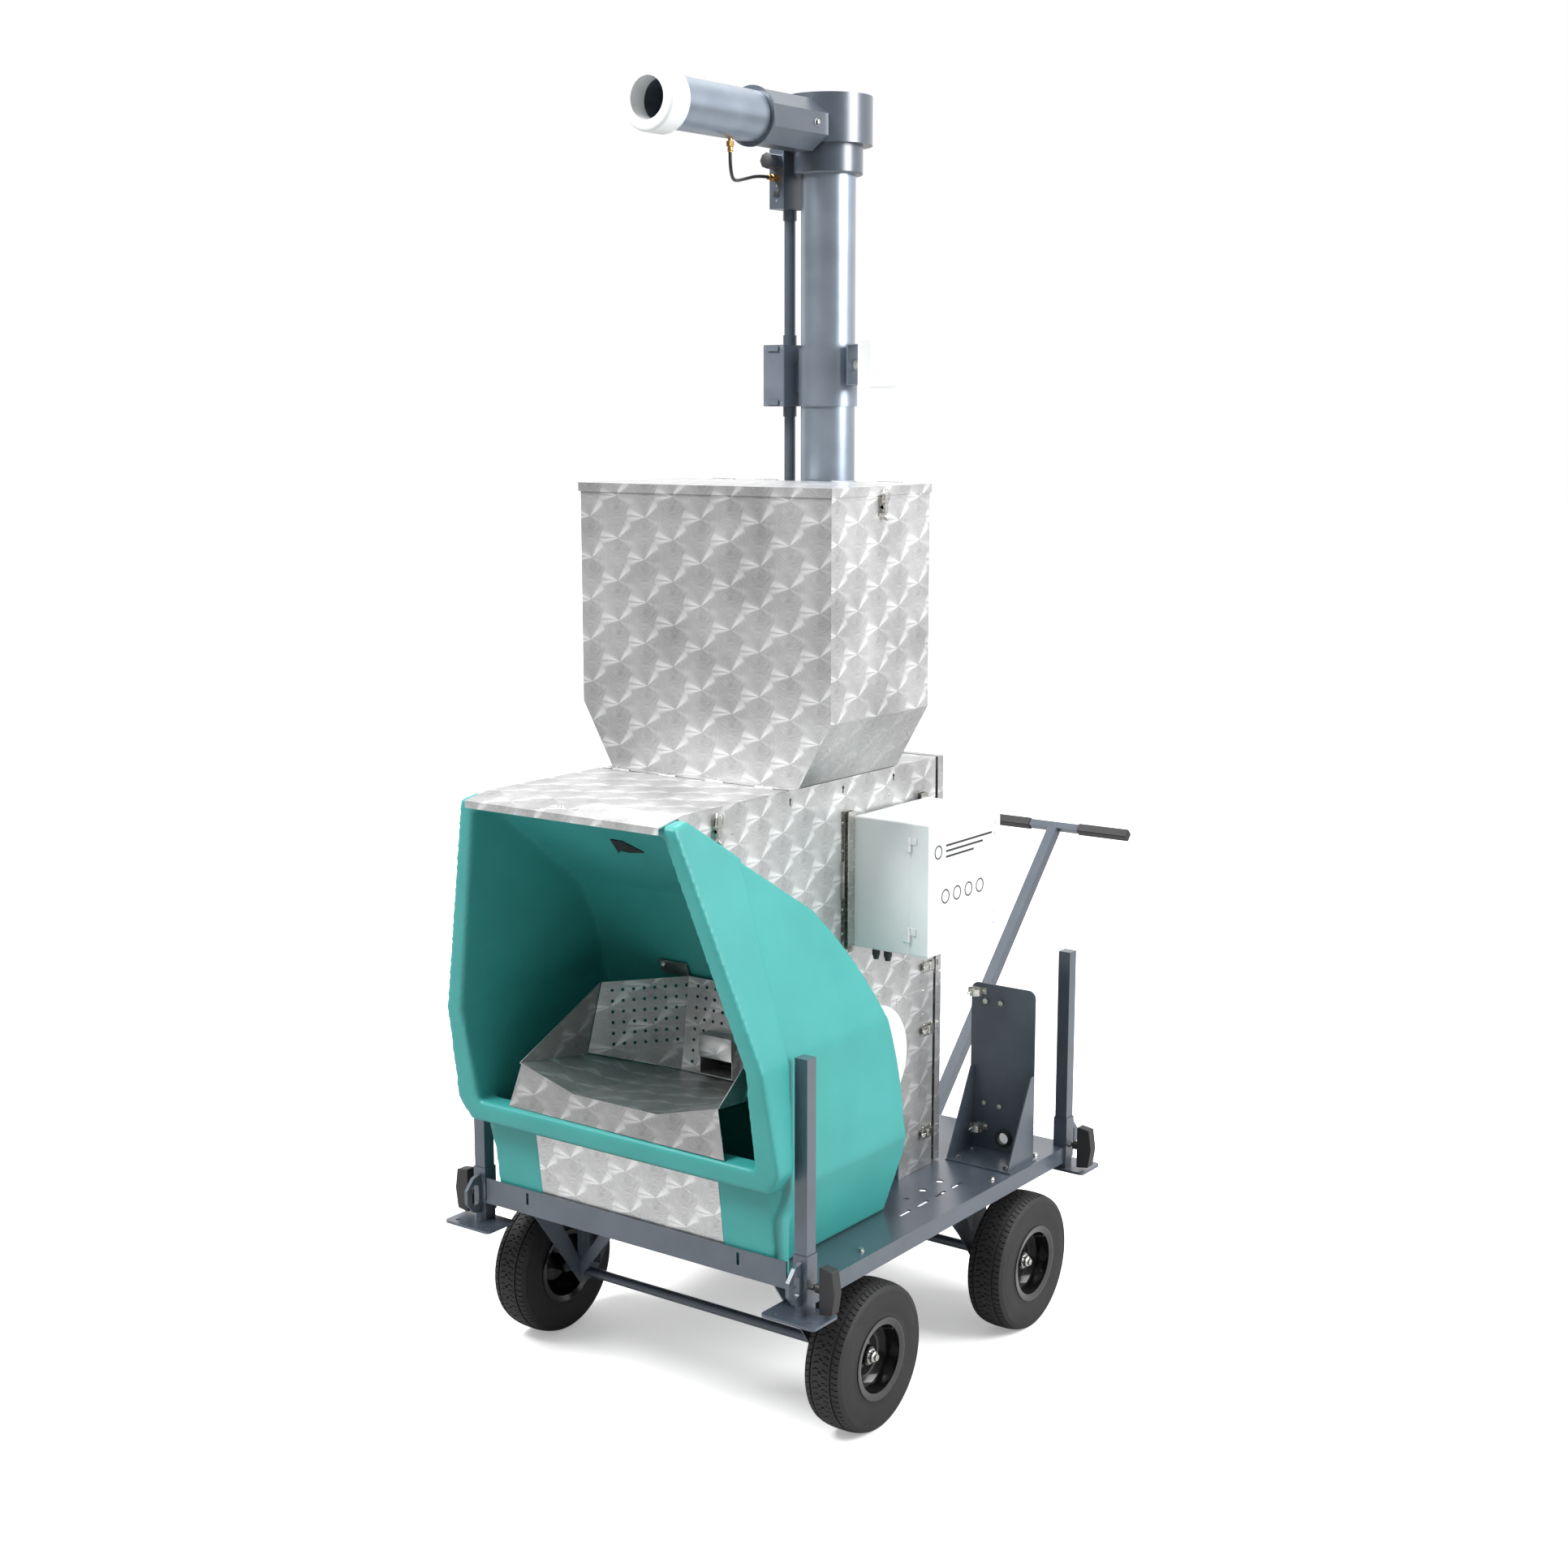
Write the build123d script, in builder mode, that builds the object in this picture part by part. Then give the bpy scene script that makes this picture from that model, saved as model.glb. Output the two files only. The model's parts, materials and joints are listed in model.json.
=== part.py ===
from build123d import *
import os
from math import atan2, cos, degrees, radians, sin

os.makedirs("parts", exist_ok=True)

# Mobile feeding and breath-sampling station on a four-wheeled hand cart, in millimetres.
# Drawn from a point on the ground, on the symmetry plane, midway between the axles, and saved
# with the origin under the middle of the whole.
# +X to the control-box side, -Y to the feeding end, +Z up.

# General clearances
origin_y = 334.626  # from mid-axles back to the middle of the whole, where the saved pieces have their origin
slip = 0.3          # faces and curved faces of neighbouring pieces
run_gap = 0.05      # radial clearance of a shaft in its bearing
slide_gap = 0.4     # each side of a leg in its sleeve

# Cart deck
deck_half = 596
deck_front = -745
deck_rear = 721
deck_top = 506
deck_sheet = 5
deck_bottom = deck_top - deck_sheet
flange_drop = 51
lip_height = 71
lip_half = 543
deck_bolt_r = 5

# Wheels and axles
wheel_r = 211.7
wheel_half_width = 62
wheel_x = 575.5
axle_y = 425.7
axle_z = wheel_r
stub_r = 12.5
tube_r = 15
rim_r = 101
rim_flange_r = 116.5
hub_r = 30
hub_in = 60
hub_out = 24

# Leg and sleeve
leg = 40
leg_wall = 3
sleeve_wall = 2.6
sleeve = leg + 2 * slide_gap + 2 * sleeve_wall
sleeve_x = 581
sleeve_y_front = -712
sleeve_y_rear = 696
sleeve_bottom = 466
sleeve_top = 600
leg_bottom = 438
leg_top = 1137
foot_t = 8
foot_half = 88
foot_out = 85
foot_in = 33
screw_z = 513
screw_r = 5
nut_t = 9
nut_r = 10

# Feeding hood
rim_top = 1779
rim_front = -995
rim_lean = 0.184
band_rear = -750
rim_outline = ((367, 1773), (560, 1123), (575, 835), (535, 779))
hood_outline = ((345, 1772), (530, 1123), (530, 760), (440, deck_top))
hollow_outline = ((330, 1735), (502, 1123), (494, 842), (500, 760), (424, deck_top + 30))

# Tower
tower_half = 335
tower_top = 1777
tower_rear = 303
tower_front = 100
skin = 2.5
door_split = 1110
door_depth = 37

# Hopper
hopper_half = 440
hopper_front = -399
hopper_rear = 88
hopper_knee = 1961
hopper_top = 2568
lid_lap = 5
lid_height = 25

# Stack and sampling arm
stack_y = 213
stack_r = 80
stack_wall = 4
stack_top = 3560
coupling_z = (2809, 2977)
socket_z = (3471, 3554)
cap_top = 3691
cap_r = 128
arm_z = 3600
arm_r = 70
arm_wall = 4
mouth_front = -616
mouth_length = 82
mouth_r = 87
mouth_bore = 56
conduit_x = -139
conduit_r = 16.7


def block(x, y, z, mode=Mode.ADD):
    """A box between two values on each axis."""
    with Locations(((x[0] + x[1]) / 2, (y[0] + y[1]) / 2, (z[0] + z[1]) / 2)):
        Box(x[1] - x[0], y[1] - y[0], z[1] - z[0], mode=mode)


def rod_x(x, y, z, r, mode=Mode.ADD):
    """A cylinder along X from x[0] to x[1]."""
    with Locations(((x[0] + x[1]) / 2, y, z)):
        Cylinder(r, x[1] - x[0], rotation=(0, 90, 0), mode=mode)


def rod_y(x, y, z, r, mode=Mode.ADD):
    """A cylinder along Y from y[0] to y[1]."""
    with Locations((x, (y[0] + y[1]) / 2, z)):
        Cylinder(r, y[1] - y[0], rotation=(90, 0, 0), mode=mode)


def rod_z(x, y, z, r, mode=Mode.ADD):
    """A cylinder along Z from z[0] to z[1]."""
    with Locations((x, y, (z[0] + z[1]) / 2)):
        Cylinder(r, z[1] - z[0], mode=mode)


def slab_x(points, x, mode=Mode.ADD):
    """A (y, z) outline between two values of X."""
    with BuildSketch(Plane.YZ.offset(x[0])) as outline:
        with BuildLine():
            Polyline(*points, close=True)
        make_face()
    extrude(outline.sketch, amount=x[1] - x[0], mode=mode)


def slab_y(points, y, mode=Mode.ADD):
    """An (x, z) outline between two values of Y."""
    with BuildSketch(Plane.XZ.offset(-y[1])) as outline:
        with BuildLine():
            Polyline(*points, close=True)
        make_face()
    extrude(outline.sketch, amount=y[1] - y[0], mode=mode)


def slab_z(points, z, mode=Mode.ADD):
    """An (x, y) outline between two values of Z."""
    with BuildSketch(Plane.XY.offset(z[0])) as outline:
        with BuildLine():
            Polyline(*points, close=True)
        make_face()
    extrude(outline.sketch, amount=z[1] - z[0], mode=mode)


def plate(points, thickness, mode=Mode.ADD):
    """A flat sheet, centred on the plane of its corner points."""
    first = Vector(*points[0])
    along = Vector(*points[1]) - first
    normal = along.cross(Vector(*points[2]) - first)
    plane = Plane(origin=first, x_dir=along, z_dir=normal)
    corners_2d = [plane.to_local_coords(Vector(*p)) for p in points]
    with BuildSketch(plane) as outline:
        with BuildLine():
            Polyline(*[(p.X, p.Y) for p in corners_2d], close=True)
        make_face()
    extrude(outline.sketch, amount=thickness / 2, both=True, mode=mode)


def turned(points, side):
    """Points mirrored to one side of the symmetry plane."""
    return [(side * abs(p[0]), p[1], p[2]) for p in points]


def both(points):
    """A half outline of (half width, height) points and its mirror image."""
    return [(a, b) for a, b in points] + [(-a, b) for a, b in reversed(points)]


def save(builder, label):
    """Label one sub-part and write it."""
    builder.part.label = label
    export_step(builder.part.moved(Location((0, -origin_y, 0))), f"parts/{label}.step")


# ---------------------------------------------------------------- cart deck
sleeve_in = sleeve_x - sleeve / 2
sleeve_out = sleeve_x + sleeve / 2
corner_front = sleeve_y_front + sleeve / 2
corner_rear = sleeve_y_rear - sleeve / 2
crossbar_h = 20
crossbar_half_y = 15
crossbar_y = (290, 553)
turn_r = 100
turn_split = 487
bolt_x = 560
bolt_y = (-415, 290, 553)
slot_long = 60
slot_wide = 12

with BuildPart() as deck_plate:
    block((-deck_half, deck_half), (deck_front, deck_rear), (deck_bottom, deck_top))
    for side in (-1, 1):
        outer = sorted((side * sleeve_in, side * (deck_half + 1)))
        block(outer, (deck_front - 1, corner_front), (deck_bottom - 1, deck_top + 1), mode=Mode.SUBTRACT)
        block(outer, (corner_rear, deck_rear + 1), (deck_bottom - 1, deck_top + 1), mode=Mode.SUBTRACT)
        edge = sorted((side * (deck_half - deck_sheet), side * deck_half))
        block(edge, (corner_front, corner_rear), (deck_top - flange_drop, deck_bottom))
    block((-lip_half, lip_half), (deck_front, deck_front + deck_sheet), (deck_top, deck_top + lip_height))
    block((-lip_half, lip_half), (deck_rear - deck_sheet, deck_rear), (deck_top - flange_drop, deck_bottom))
    for y in crossbar_y:
        block(
            (-deck_half + deck_sheet, deck_half - deck_sheet),
            (y - crossbar_half_y, y + crossbar_half_y),
            (deck_bottom - crossbar_h, deck_bottom),
        )
    rod_z(0, axle_y, (turn_split + slip, deck_bottom), turn_r)
    rod_z(0, axle_y, (turn_split, deck_top + 1), stub_r + run_gap, mode=Mode.SUBTRACT)
    for side in (-1, 1):
        for y in bolt_y:
            rod_z(side * bolt_x, y, (deck_bottom - crossbar_h - 1, deck_top + 1), deck_bolt_r + slip, mode=Mode.SUBTRACT)
    # drain slots along both edges of the deck
    with BuildSketch(Plane.XY.offset(deck_top)):
        with Locations(*[(side * 500, 90 + 95 * k) for side in (-1, 1) for k in range(-2, 2)]):
            SlotOverall(slot_long, slot_wide, rotation=90)
        with Locations(*[(side * 440, 90 + 95 * k) for side in (-1, 1) for k in range(-1, 2)]):
            Circle(slot_wide)
    extrude(amount=-deck_sheet, mode=Mode.SUBTRACT)
    # upright slots in the front lip
    with BuildSketch(Plane.XZ.offset(-deck_front)):
        with Locations((-382, deck_top + 42), (382, deck_top + 42)):
            SlotOverall(37, 9, rotation=90)
    extrude(amount=-2 * deck_sheet, mode=Mode.SUBTRACT)
save(deck_plate, "deck_plate")

with BuildPart() as deck_bolts:
    for side in (-1, 1):
        for y in bolt_y:
            rod_z(side * bolt_x, y, (deck_bottom - 2, deck_top), deck_bolt_r)
            rod_z(side * bolt_x, y, (deck_top, deck_top + 2), 10)
            with BuildSketch(Plane.XY.offset(deck_top + 2)):
                with Locations((side * bolt_x, y)):
                    RegularPolygon(8.5, 6)
            extrude(amount=6)
save(deck_bolts, "deck_bolts")

# ------------------------------------------------- leg sleeves, legs, clamps
corners = (
    ("front_left", -1, sleeve_y_front, -1),
    ("front_right", 1, sleeve_y_front, -1),
    ("rear_left", -1, sleeve_y_rear, 1),
    ("rear_right", 1, sleeve_y_rear, 1),
)
loop_out = 58
loop_t = 12
loop_z = (462, 582)
bore = leg + 2 * slide_gap

with BuildPart() as leg_sleeves:
    for name, side, y, end in corners:
        x = side * sleeve_x
        block((x - sleeve / 2, x + sleeve / 2), (y - sleeve / 2, y + sleeve / 2), (sleeve_bottom, sleeve_top))
        face = y + end * sleeve / 2
        loop = (
            (face, loop_z[1]),
            (face + end * 30, loop_z[1] - 8),
            (face + end * loop_out, loop_z[1] - 40),
            (face + end * loop_out, loop_z[0] + 40),
            (face + end * 30, loop_z[0] + 8),
            (face, loop_z[0]),
        )
        slab_x(loop, (x - loop_t / 2, x + loop_t / 2))
    for name, side, y, end in corners:
        x = side * sleeve_x
        block((x - bore / 2, x + bore / 2), (y - bore / 2, y + bore / 2), (0, deck_top * 2), mode=Mode.SUBTRACT)
        with BuildSketch(Plane.YZ.offset(x - loop_t)):
            with Locations((y + end * (sleeve / 2 + 24), (loop_z[0] + loop_z[1]) / 2)):
                SlotOverall(62, 28, rotation=90)
        extrude(amount=2 * loop_t, mode=Mode.SUBTRACT)
        outer = sorted((x, x + side * sleeve))
        rod_x(outer, y, screw_z, screw_r + slip, mode=Mode.SUBTRACT)
save(leg_sleeves, "leg_sleeves")

with BuildPart() as clamp_nuts:
    for name, side, y, end in corners:
        with BuildSketch(Plane.YZ.offset(side * sleeve_out)):
            with Locations((y, screw_z)):
                RegularPolygon(nut_r, 6)
                Circle(screw_r + slip, mode=Mode.SUBTRACT)
        extrude(amount=side * nut_t)
save(clamp_nuts, "clamp_nuts")

for name, side, y, end in corners:
    x = side * sleeve_x
    with BuildPart() as leg_tube:
        block((x - leg / 2, x + leg / 2), (y - leg / 2, y + leg / 2), (leg_bottom, leg_top))
        inner = leg / 2 - leg_wall
        block((x - inner, x + inner), (y - inner, y + inner), (leg_bottom, leg_top - 3), mode=Mode.SUBTRACT)
        foot_y = sorted((y + end * foot_out, y - end * foot_in))
        with BuildSketch(Plane.XY.offset(leg_bottom - foot_t)):
            with Locations((x, sum(foot_y) / 2)):
                RectangleRounded(2 * foot_half, foot_y[1] - foot_y[0], 14)
            with Locations((x - 55, y + end * 60), (x + 55, y + end * 60)):
                Circle(7, mode=Mode.SUBTRACT)
        extrude(amount=foot_t)
    save(leg_tube, f"leg_{name}")

    # T-handle clamp screw
    with BuildPart() as clamp_knob:
        tip = side * (sleeve_x + leg / 2 + slip)
        rod_x(sorted((tip, side * (sleeve_out + nut_t + 8))), y, screw_z, screw_r)
        rod_x(sorted((side * (sleeve_out + nut_t + 6), side * (sleeve_out + 34))), y, screw_z, 13)
        bar = (
            (side * (sleeve_out + 34), screw_z - 66),
            (side * (sleeve_out + 74), screw_z - 60),
            (side * (sleeve_out + 83), screw_z),
            (side * (sleeve_out + 74), screw_z + 60),
            (side * (sleeve_out + 34), screw_z + 66),
        )
        slab_y(bar, (y - 16, y + 16))
        fillet(clamp_knob.edges().filter_by(Axis.Y), 3)
    save(clamp_knob, f"clamp_knob_{name}")

# ------------------------------------------------------ axles and their frames
truss_x = 440
truss_t = 5
beam_h = 40
frame_top = deck_top - flange_drop - 3
frame_t = 10
pivot_y = deck_rear - 89
pivot_z = 212
pin_r = 8
axle_end = wheel_x + 40
hub_face = wheel_x + hub_out
shoulder = wheel_x - hub_in
nut_room = 15


def truss(y, top, reach, mode=Mode.ADD):
    """Triangulated side plates, uprights and inward braces that carry one axle."""
    for side in (-1, 1):
        plate = sorted((side * truss_x, side * (truss_x - truss_t)))
        slab_x(
            (
                (y - reach, top),
                (y - reach, top - 38),
                (y - 34, axle_z - 26),
                (y + 34, axle_z - 26),
                (y + reach, top - 38),
                (y + reach, top),
            ),
            plate,
        )
        for end in (-1, 1):
            slab_x(
                (
                    (y + end * 40, top - 22),
                    (y + end * (reach - 70), top - 22),
                    (y + end * 40, axle_z + 60),
                ),
                plate,
                mode=Mode.SUBTRACT,
            )
            flange = sorted((y + end * 26, y + end * 30))
            block(
                sorted((side * (truss_x - truss_t), side * (truss_x - 34))),
                flange,
                (axle_z + 22, top),
            )
        foot = side * (truss_x - truss_t)
        slab_y(
            (
                (foot, axle_z - 6),
                (foot, axle_z + 42),
                (foot - side * 190, top),
                (foot - side * 240, top),
            ),
            (y - 36, y - 30),
        )


with BuildPart() as front_trusses:
    block(
        (-deck_half + deck_sheet, deck_half - deck_sheet),
        (-axle_y - 36, -axle_y + 36),
        (deck_bottom - beam_h, deck_bottom),
    )
    block(
        (-truss_x + truss_t, truss_x - truss_t),
        (-axle_y - 30, -axle_y + 30),
        (deck_bottom - beam_h - 1, deck_bottom - 5),
        mode=Mode.SUBTRACT,
    )
    truss(-axle_y, deck_bottom, 235)
    rod_x((-deck_half, deck_half), -axle_y, axle_z, tube_r + slip, mode=Mode.SUBTRACT)
    for side in (-1, 1):
        rod_z(side * bolt_x, -415, (0, deck_top), deck_bolt_r + slip, mode=Mode.SUBTRACT)
save(front_trusses, "front_trusses")

with BuildPart() as steer_frame:
    block((-truss_x, truss_x), (axle_y - 90, axle_y + 90), (frame_top - frame_t, frame_top))
    rod_z(0, axle_y, (frame_top, turn_split), turn_r)
    rod_z(0, axle_y, (turn_split, deck_top + 3), stub_r)
    truss(axle_y, frame_top, 210)
    for side in (-1, 1):
        slab_x(
            (
                (axle_y - 60, frame_top - frame_t),
                (axle_y + 60, frame_top - frame_t),
                (pivot_y + 24, pivot_z + 24),
                (pivot_y + 24, pivot_z - 22),
                (axle_y - 30, pivot_z - 26),
            ),
            sorted((side * 32, side * 40)),
        )
    rod_x((-deck_half, deck_half), axle_y, axle_z, tube_r + slip, mode=Mode.SUBTRACT)
    rod_x((-46, 46), pivot_y, pivot_z, pin_r)
save(steer_frame, "steer_frame")

for label, y in (("front_axle", -axle_y), ("rear_axle", axle_y)):
    with BuildPart() as axle:
        rod_x((-shoulder + slip, shoulder - slip), y, axle_z, tube_r)
        rod_x((-axle_end, axle_end), y, axle_z, stub_r)
        for side in (-1, 1):
            rod_x(sorted((side * (hub_face + slip), side * (hub_face + 3))), y, axle_z, 21)
            with BuildSketch(Plane.YZ.offset(side * (hub_face + 3))):
                with Locations((y, axle_z)):
                    RegularPolygon(17, 6)
            extrude(amount=side * 11)
    save(axle, label)

# --------------------------------------------------------------------- wheels
tyre_profile = (
    (rim_r + slip, -57),
    (115, -57.5),
    (135, -61),
    (165, -wheel_half_width + 0.1),
    (190, -59),
    (205, -52),
    (wheel_r, -38),
    (wheel_r, 38),
    (205, 52),
    (190, 59),
    (165, wheel_half_width - 0.1),
    (135, 61),
    (115, 57.5),
    (rim_r + slip, 57),
    (rim_r + slip, 47),
    (128, 50),
    (165, 52),
    (186, 48),
    (199, 34),
    (199, -34),
    (186, -48),
    (165, -52),
    (128, -50),
    (rim_r + slip, -47),
)
dish_x = 8
web_r = (hub_r + rim_r - 11) / 2

for name, side, y, end in corners:
    y = end * axle_y
    axis = Axis((0, y, axle_z), (1, 0, 0))
    tread = [(y + r, side * wheel_x + a) for r, a in tyre_profile]
    with BuildPart() as tyre:
        with BuildSketch(Plane(origin=(0, 0, axle_z), x_dir=(0, 1, 0), z_dir=(0, 0, -1))):
            with BuildLine():
                Polyline(*tread, close=True)
            make_face()
        revolve(axis=axis)
    save(tyre, f"tyre_{name}")

    # deep-dish rim: barrel, outer and inner flanges, disc and hub
    rim_profile = (
        (stub_r + run_gap, -hub_in),
        (hub_r - 8, -hub_in),
        (hub_r - 4, dish_x - 4),
        (web_r, dish_x - 10),
        (rim_r - 9, dish_x - 2),
        (rim_r - 5, dish_x - 12),
        (rim_r - 5, -58),
        (rim_flange_r - 4.5, -62),
        (rim_flange_r, -62),
        (rim_flange_r, -58),
        (rim_r, -57.5),
        (rim_r, 57.5),
        (rim_flange_r, 58),
        (rim_flange_r, wheel_half_width),
        (rim_flange_r - 4.5, wheel_half_width),
        (rim_r - 5, 58),
        (rim_r - 5, dish_x + 4),
        (rim_r - 9, dish_x + 6),
        (web_r, dish_x - 2),
        (hub_r, dish_x + 4),
        (hub_r - 4, hub_out),
        (stub_r + run_gap, hub_out),
    )
    dish = [(y + r, side * (wheel_x + a)) for r, a in rim_profile]
    with BuildPart() as rim:
        with BuildSketch(Plane(origin=(0, 0, axle_z), x_dir=(0, 1, 0), z_dir=(0, 0, -1))):
            with BuildLine():
                Polyline(*dish, close=True)
            make_face()
        revolve(axis=axis)
    save(rim, f"rim_{name}")

# ---------------------------------------------------------------- feeding hood
back_low = (-114, deck_top)
back_foot = (-119, 700)
back_knee = (-149, 802)
back_bend = (-290, 1232)
back_shoulder = (-464, 1462)
back_crest = (-930, 1772)
ceiling_front = (-1030, 1734)
ceiling_bend = (-901, 1734)
ceiling_knee = (-473, 1449)
ceiling_arc = (-303, 1225)
ceiling_low = (-163, 802)
skirt_low = -727
skirt_high = -764


def back_curve(dy, dz):
    """The hood's outer back line from its foot to its crest, moved by dy and dz."""
    moved = [(y + dy, z + dz) for y, z in (back_low, back_foot, back_knee, back_bend, back_shoulder, back_crest)]
    Polyline(*moved[:3])
    ThreePointArc(*moved[2:5])
    Line(*moved[4:])


def rim_y(z):
    """Y of the mouth plane at height z."""
    return rim_front + rim_lean * (rim_top - z)


with BuildPart() as hood_shell:
    with BuildSketch(Plane.YZ.offset(-deck_half)):
        with BuildLine():
            back_curve(0, 0)
            Polyline(
                back_crest,
                (band_rear - 100, back_crest[1]),
                (band_rear - 100, 800),
                (skirt_high, 790),
                (skirt_low, deck_top),
                back_low,
            )
        make_face()
    extrude(amount=2 * deck_half)
    with BuildSketch(Plane.XZ.offset(-deck_rear)) as body_outline:
        with BuildLine():
            Polyline(*both(hood_outline), close=True)
        make_face()
        fillet(body_outline.vertices().filter_by_position(Axis.Y, 1000, 1300), 90)
        fillet(body_outline.vertices().filter_by_position(Axis.Y, 700, 800), 60)
    extrude(amount=2000, mode=Mode.INTERSECT)
    split(bisect_by=Plane.XZ.offset(-band_rear), keep=Keep.BOTTOM)
    # the band around the mouth, cut back along the leaning mouth plane
    with BuildSketch(Plane.XZ.offset(-band_rear)) as band_outline:
        with BuildLine():
            Polyline(*both(rim_outline), close=True)
        make_face()
        fillet(band_outline.vertices().filter_by_position(Axis.Y, 1000, 1300), 90)
        fillet(band_outline.vertices().filter_by_position(Axis.Y, 820, 850), 40)
        fillet(band_outline.vertices().filter_by_position(Axis.Y, 770, 790), 12)
    extrude(amount=300)
    slab_x(
        ((rim_y(500), 500), (rim_y(1900), 1900), (-1400, 1900), (-1400, 500)),
        (-deck_half, deck_half),
        mode=Mode.SUBTRACT,
    )
    # the skirt below the mouth
    with BuildSketch(Plane.YZ.offset(-502)):
        with BuildLine():
            Polyline((skirt_high, 790), (skirt_low, deck_top), (skirt_low + 60, deck_top), (skirt_low + 60, 790), close=True)
        make_face()
    extrude(amount=1004)
    for side in (-1, 1):
        slab_y(
            ((side * 505, 665), (side * 450, 585), (side * 446, 500), (side * 700, 500)),
            (skirt_high - 40, band_rear + 2),
            mode=Mode.SUBTRACT,
        )
    # the back and the sloping front edge of the top trim everything above
    with BuildSketch(Plane.YZ.offset(-deck_half)):
        with BuildLine():
            back_curve(0, 0)
            Polyline(back_crest, (-1030, 1752), (-1030, deck_top), back_low)
        make_face()
    extrude(amount=2 * deck_half, mode=Mode.INTERSECT)
with BuildPart() as hood_hollow:
    with BuildSketch(Plane.YZ.offset(-deck_half)):
        with BuildLine():
            Polyline(ceiling_front, ceiling_bend, ceiling_knee)
            ThreePointArc(ceiling_knee, ceiling_arc, ceiling_low)
            Polyline(
                ceiling_low,
                (-133, 700),
                (-128, deck_top + 30),
                (skirt_low + 16, deck_top + 30),
                (skirt_high + 14, 842),
                (-1030, 842),
                ceiling_front,
            )
        make_face()
    extrude(amount=2 * deck_half)
    with BuildSketch(Plane.XZ.offset(-deck_rear)) as hollow_sketch:
        with BuildLine():
            Polyline(*both(hollow_outline), close=True)
        make_face()
        fillet(hollow_sketch.vertices().filter_by_position(Axis.Y, 1000, 1300), 70)
    extrude(amount=2000, mode=Mode.INTERSECT)

panel_half = 328
panel_top = 757
chute_half = 60
chute_low = 885
chute_high = 1005


def front_face(z):
    """Y of the hood's lower front face at height z."""
    return skirt_low + (skirt_high - skirt_low) * (z - deck_top) / (790 - deck_top)


with BuildPart() as hood:
    add(hood_shell.part)
    add(hood_hollow.part, mode=Mode.SUBTRACT)
    # seat of the lower front panel, service slots in the ceiling, feed passage in the back
    slab_x(
        (
            (front_face(deck_top) - 20, deck_top - 1),
            (front_face(panel_top) - 20, panel_top + 1),
            (front_face(panel_top) + skin + slip, panel_top + 1),
            (front_face(deck_top) + skin + slip, deck_top - 1),
        ),
        (-panel_half - 1, panel_half + 1),
        mode=Mode.SUBTRACT,
    )
    slab_z(((128, -880), (176, -838), (176, -862)), (1650, 1800), mode=Mode.SUBTRACT)
    block((-chute_half - 2, chute_half + 2), (-260, -120), (chute_low - 2, chute_high + 2), mode=Mode.SUBTRACT)
save(hood, "hood_shell")
print("hood solids", len(hood.part.solids()))

with BuildPart() as hood_front_panel:
    slab_x(
        (
            (front_face(deck_top), deck_top),
            (front_face(panel_top), panel_top),
            (front_face(panel_top) + skin, panel_top),
            (front_face(deck_top) + skin, deck_top),
        ),
        (-panel_half, panel_half),
    )
save(hood_front_panel, "hood_front_panel")

# -------------------------------------------------------------------- feed pan
pan_t = 2.5
lip_corner = (355, -793, 974)
lip_mid = (149, -798, 920)
lip_low = (390, -812, 844.5)
side_top = (314, -489, 1150)
side_low = (328, -538, 943)
mid_top = (150, -278, 1150)
mid_low = (150, -318, 870)
hole_pitch = 32
hole_r = 5

with BuildPart() as feed_pan:
    plate(
        [lip_low, lip_corner, lip_mid]
        + [(-p[0], p[1], p[2]) for p in (lip_mid, lip_corner, lip_low)],
        pan_t,
    )
    plate([lip_mid, mid_low, (-mid_low[0], *mid_low[1:]), (-lip_mid[0], *lip_mid[1:])], pan_t)
    for side in (-1, 1):
        plate(turned([lip_corner, lip_mid, mid_low], side), pan_t)
        plate(turned([lip_corner, mid_low, side_low], side), pan_t)
        plate(turned([lip_corner, side_low, side_top], side), pan_t)
save(feed_pan, "feed_pan")


def pierced(points, columns, rows, start):
    """A flat sheet with a square grid of round holes."""
    first = Vector(*points[0])
    along = Vector(*points[1]) - first
    normal = along.cross(Vector(*points[2]) - first)
    plane = Plane(origin=first, x_dir=along, z_dir=normal)
    corners_2d = [plane.to_local_coords(Vector(*p)) for p in points]
    sign = 1 if corners_2d[2].Y > 0 else -1
    with BuildSketch(plane) as outline:
        with BuildLine():
            Polyline(*[(p.X, p.Y) for p in corners_2d], close=True)
        make_face()
        with Locations(*[
            (start[0] + hole_pitch * i, sign * (start[1] + hole_pitch * j))
            for i in range(columns)
            for j in range(rows)
        ]):
            Circle(hole_r, mode=Mode.SUBTRACT)
    extrude(outline.sketch, amount=pan_t / 2, both=True)


lift = 3.5
with BuildPart() as pan_liner:
    for side in (-1, 1):
        pierced(
            turned([(side_top[0] - 2, side_top[1] + 4, side_top[2]), mid_top, (mid_low[0], mid_low[1], mid_low[2] + lift),
                    (side_low[0] - 2, side_low[1] + 4, side_low[2] + lift)], side),
            8, 6, (30, 26),
        )
        slab_x(((-273.5, 1148), (-276.5, 1146), (-293.8, 1190), (-290.8, 1190)), sorted((side * 150, side * 255)))
        rod_y(side * 235, (-297, -288), 1177, 7)
    pierced(
        [(-mid_top[0], *mid_top[1:]), mid_top, (mid_low[0], mid_low[1], mid_low[2] + lift),
         (-mid_low[0], mid_low[1], mid_low[2] + lift)],
        8, 8, (38, 24),
    )
    block(
        (-chute_half - slip, chute_half + slip),
        (-400, -200),
        (chute_low - slip, chute_high + slip),
        mode=Mode.SUBTRACT,
    )
save(pan_liner, "pan_liner")

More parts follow.
